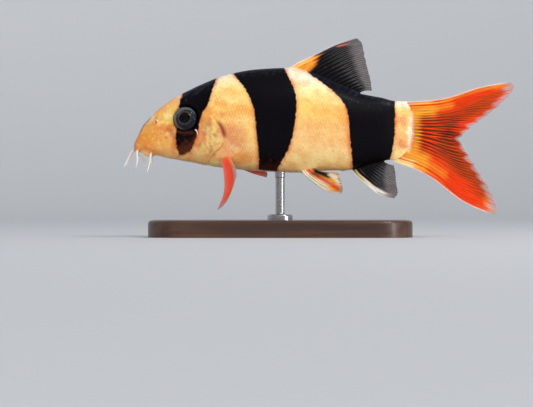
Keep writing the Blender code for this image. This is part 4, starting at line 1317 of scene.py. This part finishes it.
class OBJECT_OT_loach_eyes(bpy.types.Operator):
    """Makes the eyeballs with iris, pupil and a clear cornea"""

    bl_idname = "clown_loach.add_eyes"
    bl_label = "Add Eyes"

    def execute(self, context):
        iris, cornea = iris_finish(), cornea_finish()
        back = [
            ((EYE_RADIUS - 0.1) * math.cos(t), (EYE_DEPTH_RADIUS - 0.1) * math.sin(t))
            for t in np.linspace(-math.pi / 2, 0.0, 17)
        ]
        front = [
            (2.95, 0.3), (2.84, 0.56), (2.6, 0.76), (2.3, 0.86), (2.1, 1.0), (1.9, 1.18),
            (1.78, 1.3), (1.7, 1.38), (1.6, 1.41), (1.5, 1.38), (1.42, 1.3), (1.34, 1.2),
            (1.28, 1.22), (1.2, 1.34), (1.0, 1.56), (0.7, 1.76), (0.35, 1.87), (0.0, 1.9),
        ]
        shell = [
            (EYE_RADIUS * math.cos(t), EYE_DEPTH_RADIUS * math.sin(t))
            for t in np.linspace(-0.35, math.pi / 2, 33)
        ]
        inner = [((d - 0.06) if d > 0.06 else 0.0, h - 0.06) for d, h in reversed(shell)]
        for name, side in (("left", -1), ("right", 1)):
            bm = turned(back + front, 96)
            ring, turn = set_in_eye(bm, side)
            ball = new_piece("eyeball_" + name, bm)
            add_values(ball, "from_pupil", ring)
            spokes = np.column_stack((np.cos(turn) * 2, np.sin(turn) * 2, ring * 0.25))
            add_values(ball, "spokes", spokes)
            iris.give(ball)
            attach(ball, "root")
            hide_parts("eye_" + name)

            bm = turned(shell + inner + shell[:1], 96)
            set_in_eye(bm, side)
            cover = new_piece("cornea_" + name, bm)
            cornea.give(cover)
            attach(cover, "root")
        return {"FINISHED"}


def worm(name, line, radius_at, segments=20, rings=60):
    """Closed round form along a smooth line, with a radius for each share of it."""
    bm = bmesh.new()
    bmesh.ops.create_uvsphere(bm, u_segments=segments, v_segments=rings, radius=1.0)
    co = co_of(bm)
    share = np.arccos(np.clip(co[:, 2], -1.0, 1.0)) / math.pi
    turn = np.arctan2(co[:, 1], co[:, 0])
    middle = through(line, share)
    ahead = through(line, np.clip(share + 0.01, 0, 1)) - through(line, np.clip(share - 0.01, 0, 1))
    ahead /= np.linalg.norm(ahead, axis=1)[:, None]
    first = np.cross(ahead, (0.0, 1.0, 0.13))
    first /= np.linalg.norm(first, axis=1)[:, None]
    second = np.cross(ahead, first)
    radius = radius_at(share)[:, None]
    places = middle + radius * (np.cos(turn)[:, None] * first + np.sin(turn)[:, None] * second)
    move_to(bm, world(places))
    bmesh.ops.recalc_face_normals(bm, faces=bm.faces)
    made = new_piece(name, bm)
    add_values(made, "share", share)
    return made


def feeler_finish():
    """Soft feeler, orange at its root and white towards its tip."""
    look = Finish("loach_feeler")
    share = look.stored("share")
    place = look.millimetres()
    cloud = look.noise(place, 2.5, 3.0)
    root = look.wash(tone("amber"), look.ease(cloud, 0.3, 0.7), "orange")
    tint = look.wash(root, look.ease(share, 0.06, 0.36), "bone")
    rings = look.math("SINE", look.times(share, 260.0))
    look.plug(look.shader, {
        "Base Color": tint,
        "Roughness": look.ease(cloud, 0.3, 0.7, 0.3, 0.42),
        "Normal": look.bump(look.math("MULTIPLY_ADD", rings, 0.5, 0.5), 0.02),
        "Subsurface Weight": 0.3,
        "Subsurface Radius": (1.0, 0.6, 0.4),
        "Subsurface Scale": 0.4 * MM,
        "Coat Weight": 0.2,
        "Coat Roughness": 0.2,
    })
    return look


class OBJECT_OT_loach_feelers(bpy.types.Operator):
    """Makes the eight feelers round the mouth, and the small spines and nostril flaps"""

    bl_idname = "clown_loach.add_feelers"
    bl_label = "Add Feelers"

    def execute(self, context):
        finish = feeler_finish()
        for pair, (root, proud, radius, *rests) in BARBELS.items():
            for (name, side), rest in zip((("left", 1), ("right", -1)), rests):
                place = (root[0], root[1] * side)
                sunk = under_point(*place, -0.35)
                stub = under_point(*place, proud + 0.8)
                line = (sunk, stub, *(np.array(point, float) for point in rest))

                def thick(share, widest=radius):
                    body = 1.1 + (0.38 - 1.1) * share ** 0.85
                    wrinkle = 1 + 0.035 * np.sin(share * 130)
                    ends = np.sqrt(np.clip(1 - ((share - 0.5) / 0.5) ** 8, 0.0, 1.0))
                    return widest * body * wrinkle * ends

                made = worm("feeler_" + pair + "_" + name, line, thick)
                finish.give(made)
                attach(made, "root")
                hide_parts("barbel_" + pair + "_" + name)
        self.add_spikes(finish)
        return {"FINISHED"}

    def add_spikes(self, finish):
        """Small hooked spine under each eye and a flap at each nostril."""
        for name, (side, line) in SPIKES.items():
            points = [flank_point(side, *place)[0] for place in line]
            made = worm(name, points, lambda s: 0.2 * (1 - s) ** 0.6 + 0.015, 12, 24)
            finish.give(made)
            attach(made, "root")


def on_back(place):
    return np.column_stack((place[:, 0], place[:, 1] * 0, follow(BACK, place[:, 0]) - 0.25))


def under_belly(place):
    return np.column_stack((place[:, 0], place[:, 1] * 0, follow(BELLY, place[:, 0]) + 0.25))


def in_stalk(place):
    return np.column_stack((end_at(place[:, 2]) - 0.9, place[:, 1] * 0, place[:, 2]))


def in_flank(place):
    return flank_point(np.sign(place[:, 1]), place[:, 0], place[:, 2], -0.3)[0]


SEATS = {"dorsal": on_back, "anal": under_belly, "tail": in_stalk, "pelvic": in_flank,
         "pectoral": in_flank}


def ray_pattern(across, out, rays, forks):
    """Ridge of the nearest ray, which forks once or twice on its way out, from 0 to 1."""
    spacing = 1.0 / rays
    own = (np.floor(across * rays) + 0.5) * spacing
    away = across - own
    first = spacing / 4 * smoothstep(0.15, 0.65, out)
    second = spacing / 8 * smoothstep(0.68, 0.95, out) * (forks - 1)
    first_fork = np.abs(np.abs(away) - first)
    gap = np.abs(first_fork - second)
    width = spacing * (0.17 - 0.09 * smoothstep(0.1, 0.8, out))
    return hill(gap, width) * (0.35 + 0.65 * smoothstep(0.0, 0.14, out))


def fin_finish(name):
    """Web and rays painted from the mesh, clearer towards the margin."""
    look = Finish("loach_" + name)
    ray = look.stored("ray")
    web, bright = look.stored("web_tint", "Color"), look.stored("ray_tint", "Color")
    streak = look.noise(look.on_map("rays", 90.0, 5.0), 1.0, 3.0, 0.6)
    joints = look.noise(look.on_map("rays", 60.0, 60.0), 1.0, 2.0)
    tint = look.shade(look.mix(ray, web, bright), look.ease(streak, 0.3, 0.7, 0.72, 1.24))
    tint = look.wash(tint, look.times(look.ease(joints, 0.66, 0.76, 0.0, 0.5), ray), "bone")
    solid = look.math("MULTIPLY_ADD", ray, 0.35, look.stored("web_tint", "Alpha"))
    look.plug(look.shader, {
        "Base Color": tint,
        "Alpha": look.math("MINIMUM", solid, 1.0),
        "Roughness": look.ease(streak, 0.3, 0.7, 0.3, 0.46),
        "Normal": look.bump(look.math("ADD", ray, look.times(streak, 0.6)), 0.03),
        "Subsurface Weight": 0.35,
        "Subsurface Radius": (1.0, 0.35, 0.18),
        "Subsurface Scale": 0.5 * MM,
        "Specular IOR Level": 0.1,
    })
    return look


def on_net(net, across, out):
    """Places on a fin's net."""
    by_ray = shares_of(len(net), across)
    by_reach = shares_of(net.shape[1], out)
    return np.einsum("ni,nj,ijk->nk", by_ray, by_reach, net)


def fin_places(name, kind, net, rays, across, out, ray):
    """Places of a fin's grid, with a ragged margin, soft waves and its root in the flesh."""
    draw = np.random.default_rng(len(name) + rays)
    uneven = rumple(across[:, None] * 100.0, 9.0, int(draw.integers(99)))
    notch = 0.003 * (1 - ray) + 0.007 * (1 + uneven)
    reach = out * (1 - notch * smoothstep(0.6, 1.0, out))
    place = on_net(net, across, reach)
    if kind == "tail":
        meet = TAIL_PARTING if name == "tail_lower" else -TAIL_PARTING
        place[:, 2] += meet * smoothstep(0.8, 1.0, across)
    root = on_net(net, across, np.zeros(len(out)))
    place += (SEATS[kind](root) - root) * (1 - smoothstep(0.0, 0.16, out))[:, None]
    wave = 0.05 * rumple(np.column_stack((across * 30, out * 6)), 7.0, rays)
    place[:, 1] += wave * smoothstep(0.15, 1.0, out)
    return place


def fin_thickness(kind, thick, rows, across, out, ray):
    """Thickness of a fin in millimetres, greater on its jointed rays and its front edge."""
    web, thin, rise = thick
    joint = 1 - 0.12 * (0.5 + 0.5 * np.cos(out * rows * 1.3))
    thickness = web + (thin - web) * smoothstep(0.1, 1.0, out)
    thickness = thickness + rise * ray * joint * (1 - 0.65 * smoothstep(0.3, 1.0, out))
    thickness = thickness + rise * 0.8 * hill(across, 0.02)
    if kind in REAR_EDGE:
        thickness = thickness + 0.7 * (1 - smoothstep(0.02, 0.2, out)) * (1 - across ** 4)
    return thickness


def paint_fin(made, kind, rays, seen, across, out):
    """Stores the colours of a fin's web and rays, and how clear its margin is."""
    base, washes, web_washes, (edge_name, edge_width), margin, contrast = FIN_PAINT[kind]
    first_start, last_start, breadth, clearness = margin
    streaks = 0.2 * rumple(np.column_stack((across * rays * 6, out * 4)), 9.0, 31)
    start = first_start + (last_start - first_start) * across
    rim = smoothstep(start, start + breadth, out * (1 + 0.12 * streaks))
    if kind in REAR_EDGE:
        rim = np.maximum(rim, smoothstep(*REAR_EDGE[kind], across) * smoothstep(0.1, 0.35, out))
    tint = paint(seen, colour(base), washes, 0.9, 1.6 * streaks)
    # Colour of the front edge, which on the pectoral fins is partly a painted highlight
    tint += (colour(edge_name) - tint) * (hill(across, edge_width) * 0.85)[:, None]
    web_tint = paint(seen, tint, web_washes, 0.85, streaks) * (1 - contrast)

    dark = base == "ink"
    ash_light, web_share, ray_light, rim_light = DARK_MARGIN if dark else BRIGHT_MARGIN
    margin_tint = colour("ash") * ash_light
    web_tint += (margin_tint - web_tint) * (rim * web_share)[:, None]
    ray_tint = tint * ray_light
    if dark:
        ray_tint += 0.01 + 0.09 * hill(out - start, 0.2)[:, None]
    ray_tint += (margin_tint * rim_light - ray_tint) * (rim * 0.7)[:, None]
    add_colour(made, "web_tint", web_tint, 1 - clearness * rim)
    add_colour(made, "ray_tint", ray_tint)


class OBJECT_OT_loach_fins(bpy.types.Operator):
    """Makes the fins: thin webs on forked rays, with ragged margins"""

    bl_idname = "clown_loach.add_fins"
    bl_label = "Add Fins"

    def execute(self, context):
        for name, (net, node, rays, parts, thick) in FINS.items():
            made = self.add_fin(name, net, rays, parts, thick)
            fin_finish(name).give(made)
            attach(made, "root")
            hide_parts(node)
        return {"FINISHED"}

    def add_fin(self, name, net, rays, parts, thick):
        """One fin: a grid on its net, thickened by a modifier, with its colours stored."""
        kind = name.split("_")[0]
        net = np.array(net, float)
        if name == "pelvic_right":
            net[:, :, 1] *= -1
        bm = bmesh.new()
        bmesh.ops.create_grid(bm, x_segments=parts[0], y_segments=parts[1], size=1.0)
        co = co_of(bm)
        across, out = (co[:, 0] + 1) / 2, (co[:, 1] + 1) / 2
        ray = ray_pattern(across, out, rays, 2 if kind == "tail" else 1)
        place = fin_places(name, kind, net, rays, across, out, ray)
        move_to(bm, world(place))

        uv = bm.loops.layers.uv.new("rays")
        for face in bm.faces:
            for loop in face.loops:
                loop[uv].uv = (across[loop.vert.index], out[loop.vert.index])
        share = bm.verts.layers.deform.verify()
        thickness = fin_thickness(kind, thick, parts[1], across, out, ray)
        most = thickness.max()
        for v, value in zip(bm.verts, thickness / most):
            v[share][0] = value

        made = new_piece(name + "_fin", bm)
        paint_fin(made, kind, rays, flat(place), across, out)
        add_values(made, "ray", ray)
        made.vertex_groups.new(name="thickness")
        solid = made.modifiers.new("thickness", "SOLIDIFY")
        solid.thickness = most * MM
        solid.offset = 0.0
        solid.vertex_group = "thickness"
        return made


def wood_finish():
    """Dark stained wood with long grain, pores and a satin varnish."""
    look = Finish("stand_walnut")
    grain = look.noise(look.millimetres((0.05, 1.0, 1.0)), 0.5, 6.0, 0.62)
    pores = look.noise(look.millimetres((0.12, 2.2, 2.2)), 1.6, 3.0, 0.7)
    tint = look.wash(tone("walnut", 0.55), look.ease(grain, 0.3, 0.7), "walnut", 1.55)
    tint = look.wash(tint, look.ease(pores, 0.6, 0.72, 0.0, 0.55), "walnut", 0.25)
    look.plug(look.shader, {
        "Base Color": tint,
        "Roughness": look.ease(grain, 0.3, 0.7, 0.36, 0.48),
        "Normal": look.bump(look.ease(pores, 0.72, 0.56), 0.03),
        "Coat Weight": 0.3,
        "Coat Roughness": 0.25,
    })
    return look


def steel_finish():
    """Fine turned steel."""
    look = Finish("stand_steel")
    turning = look.noise(look.millimetres((0.6, 0.6, 9.0)), 1.0, 3.0, 0.6)
    look.plug(look.shader, {
        "Base Color": tone("steel"),
        "Metallic": 1.0,
        "Roughness": look.ease(turning, 0.3, 0.7, 0.2, 0.36),
        "Normal": look.bump(turning, 0.008),
    })
    return look


class OBJECT_OT_loach_stand(bpy.types.Operator):
    """Makes the wooden base and the steel rod of the stand"""

    bl_idname = "clown_loach.add_stand"
    bl_label = "Add Stand"

    def execute(self, context):
        bm = bmesh.new()
        bmesh.ops.create_cube(bm, size=1.0)
        long, wide, thick = (s * MM for s in BASE_SIZE)
        bmesh.ops.scale(bm, verts=bm.verts, vec=(long, wide, thick))
        bmesh.ops.translate(bm, verts=bm.verts, vec=(0, 0, thick / 2))
        upright = [e for e in bm.edges if abs(e.verts[0].co.z - e.verts[1].co.z) > thick / 2]
        bmesh.ops.bevel(
            bm, geom=upright, offset=BASE_CORNER * MM, segments=20, profile=0.5,
            affect="EDGES", material=-1,
        )
        top = [e for e in bm.edges if all(v.co.z > thick / 2 for v in e.verts)]
        bmesh.ops.bevel(
            bm, geom=top, offset=BASE_EDGE * MM, segments=6, profile=0.5,
            affect="EDGES", material=-1,
        )
        base = new_piece("base", bm)
        base.data.set_sharp_from_angle(angle=SHARP_ANGLE)
        wood_finish().give(base)
        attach(base, "root")
        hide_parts("stand_base")

        top = SWIM_HEIGHT + float(follow(BELLY, np.array([SNOUT_AHEAD]))[0]) + ROD_SUNK
        low = BASE_SIZE[2]
        edge = low + COLLAR_THICK
        bend = [
            (COLLAR_RADIUS - COLLAR_EDGE + COLLAR_EDGE * math.cos(t),
             edge - COLLAR_EDGE + COLLAR_EDGE * math.sin(t))
            for t in np.linspace(0, math.pi / 2, 7)
        ]
        fillet = [
            (ROD_RADIUS + ROD_FILLET * (1 - math.sin(t)), edge + ROD_FILLET * (1 - math.cos(t)))
            for t in np.linspace(0, math.pi / 2, 6)
        ]
        rim = ROD_RADIUS + CUP_RIM
        cup = [(ROD_RADIUS, top - 1.6), (rim, top - 1.45), (rim, top - 0.1)]
        profile = [(0.0, low), (COLLAR_RADIUS, low), *bend, *fillet, *cup, (0.0, top)]
        bm = turned([(d * MM, h * MM) for d, h in profile], 72)
        rod = new_piece("rod", bm)
        rod.data.set_sharp_from_angle(angle=SHARP_ANGLE)
        steel_finish().give(rod)
        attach(rod, "root")
        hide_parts("stand_rod")
        return {"FINISHED"}


class OBJECT_OT_loach_studio(bpy.types.Operator):
    """Makes the floor, backdrop, lights and camera"""

    bl_idname = "clown_loach.add_studio"
    bl_label = "Add Studio"

    def execute(self, context):
        studio = context.scene.clown_loach.studio
        self.add_bowl()
        world_look = bpy.data.worlds.new("studio")
        world_look.use_nodes = True
        background = world_look.node_tree.nodes["Background"]
        background.inputs["Color"].default_value = (0.95, 0.97, 1.0, 1.0)
        background.inputs["Strength"].default_value = studio.sky
        context.scene.world = world_look
        self.add_key(studio.key)
        for name, (place, wide, shown) in LAMPS.items():
            self.add_light(name, place, wide, getattr(studio, name), shown)
        context.scene.view_settings.view_transform = "Standard"
        self.add_camera(studio.distance)
        return {"FINISHED"}

    def add_bowl(self):
        """Round floor that curves up into a wall all round."""
        wall = [
            (FLOOR_RADIUS + WALL_BEND * math.sin(t), WALL_BEND * (1 - math.cos(t)))
            for t in np.linspace(0, math.pi / 2, 25)[1:]
        ]
        floor = [(FLOOR_RADIUS * share, 0.0) for share in (0.0, 0.25, 0.6, 1.0)]
        bm = turned([*floor, *wall, (FLOOR_RADIUS + WALL_BEND, WALL_HEIGHT)], 96)
        if max(bm.faces, key=lambda f: -f.calc_center_median().length).normal.z < 0:
            bmesh.ops.reverse_faces(bm, faces=bm.faces)
        bowl = new_piece("studio_floor", bm)
        look = Finish("studio_paper")
        tooth = look.noise(look.millimetres(), 0.8, 3.0)
        look.plug(look.shader, {
            "Base Color": tone("backdrop"),
            "Roughness": look.ease(tooth, 0.3, 0.7, 0.7, 0.85),
            "Specular IOR Level": 0.2,
        })
        look.give(bowl)

    def add_key(self, strength):
        """Soft light from high in front, the same everywhere in the studio."""
        light = bpy.data.lights.new("key", "SUN")
        light.energy = strength
        light.angle = SUN_ANGLE
        light.color = (1.0, 0.985, 0.96)
        lamp = bpy.data.objects.new("key", light)
        lamp.rotation_euler = Vector(SUN_WAY).to_track_quat("-Z", "Y").to_euler()
        bpy.context.scene.collection.objects.link(lamp)

    def add_light(self, name, place, wide, power, shown):
        """Rectangular light aimed at the fish; the fill isn't seen in its reflections."""
        light = bpy.data.lights.new(name, "AREA")
        light.shape = "RECTANGLE"
        light.size, light.size_y = wide
        light.energy = power
        light.color = shown
        lamp = bpy.data.objects.new(name, light)
        lamp.location = place
        aim = Vector((0.0, 0.0, SWIM_HEIGHT * MM)) - Vector(place)
        lamp.rotation_euler = aim.to_track_quat("-Z", "Y").to_euler()
        lamp.visible_glossy = name != "fill"
        bpy.context.scene.collection.objects.link(lamp)

    def add_camera(self, distance):
        """Camera level with the fish's flank, with the photograph's framing."""
        camera = bpy.data.cameras.new("camera")
        shown = PHOTO_WIDTH / PIXELS_PER_MM
        camera.sensor_width = SENSOR_WIDTH
        camera.lens = SENSOR_WIDTH * distance / MM / shown
        camera.clip_start, camera.clip_end = 0.01, 10.0
        ahead = (PHOTO_WIDTH / 2 - SNOUT_PIXEL[0]) / PIXELS_PER_MM - SNOUT_AHEAD
        level = (SNOUT_PIXEL[1] - PHOTO_HEIGHT / 2) / PIXELS_PER_MM + SWIM_HEIGHT
        made = bpy.data.objects.new("camera", camera)
        made.location = (ahead * MM, -distance, level * MM)
        made.rotation_euler = (math.pi / 2, 0.0, 0.0)
        bpy.context.scene.collection.objects.link(made)
        bpy.context.scene.camera = made


STEPS = (
    OBJECT_OT_loach_skin, OBJECT_OT_loach_eyes, OBJECT_OT_loach_feelers,
    OBJECT_OT_loach_fins, OBJECT_OT_loach_stand, OBJECT_OT_loach_studio,
)


class VIEW3D_PT_loach(bpy.types.Panel):
    """Settings and steps of the model"""

    bl_label = "Clown Loach"
    bl_space_type = "VIEW_3D"
    bl_region_type = "UI"
    bl_category = "Loach"

    def draw(self, context):
        settings = context.scene.clown_loach
        for group in (settings.skin, settings.studio, settings.colours):
            box = self.layout.box()
            for name in group.__annotations__:
                box.prop(group, name)
        for step in STEPS:
            self.layout.operator(step.bl_idname)


CLASSES = (
    LoachColours, LoachSkin, LoachStudio, LoachSettings, *STEPS, VIEW3D_PT_loach,
)


def register():
    for each in CLASSES:
        bpy.utils.register_class(each)
    bpy.types.Scene.clown_loach = PointerProperty(type=LoachSettings)


def unregister():
    del bpy.types.Scene.clown_loach
    for each in reversed(CLASSES):
        bpy.utils.unregister_class(each)


def main():
    """Runs all steps in order."""
    register()
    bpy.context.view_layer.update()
    bpy.ops.clown_loach.add_skin()
    bpy.ops.clown_loach.add_eyes()
    bpy.ops.clown_loach.add_feelers()
    bpy.ops.clown_loach.add_fins()
    bpy.ops.clown_loach.add_stand()
    bpy.ops.clown_loach.add_studio()


if __name__ == "__main__":
    main()
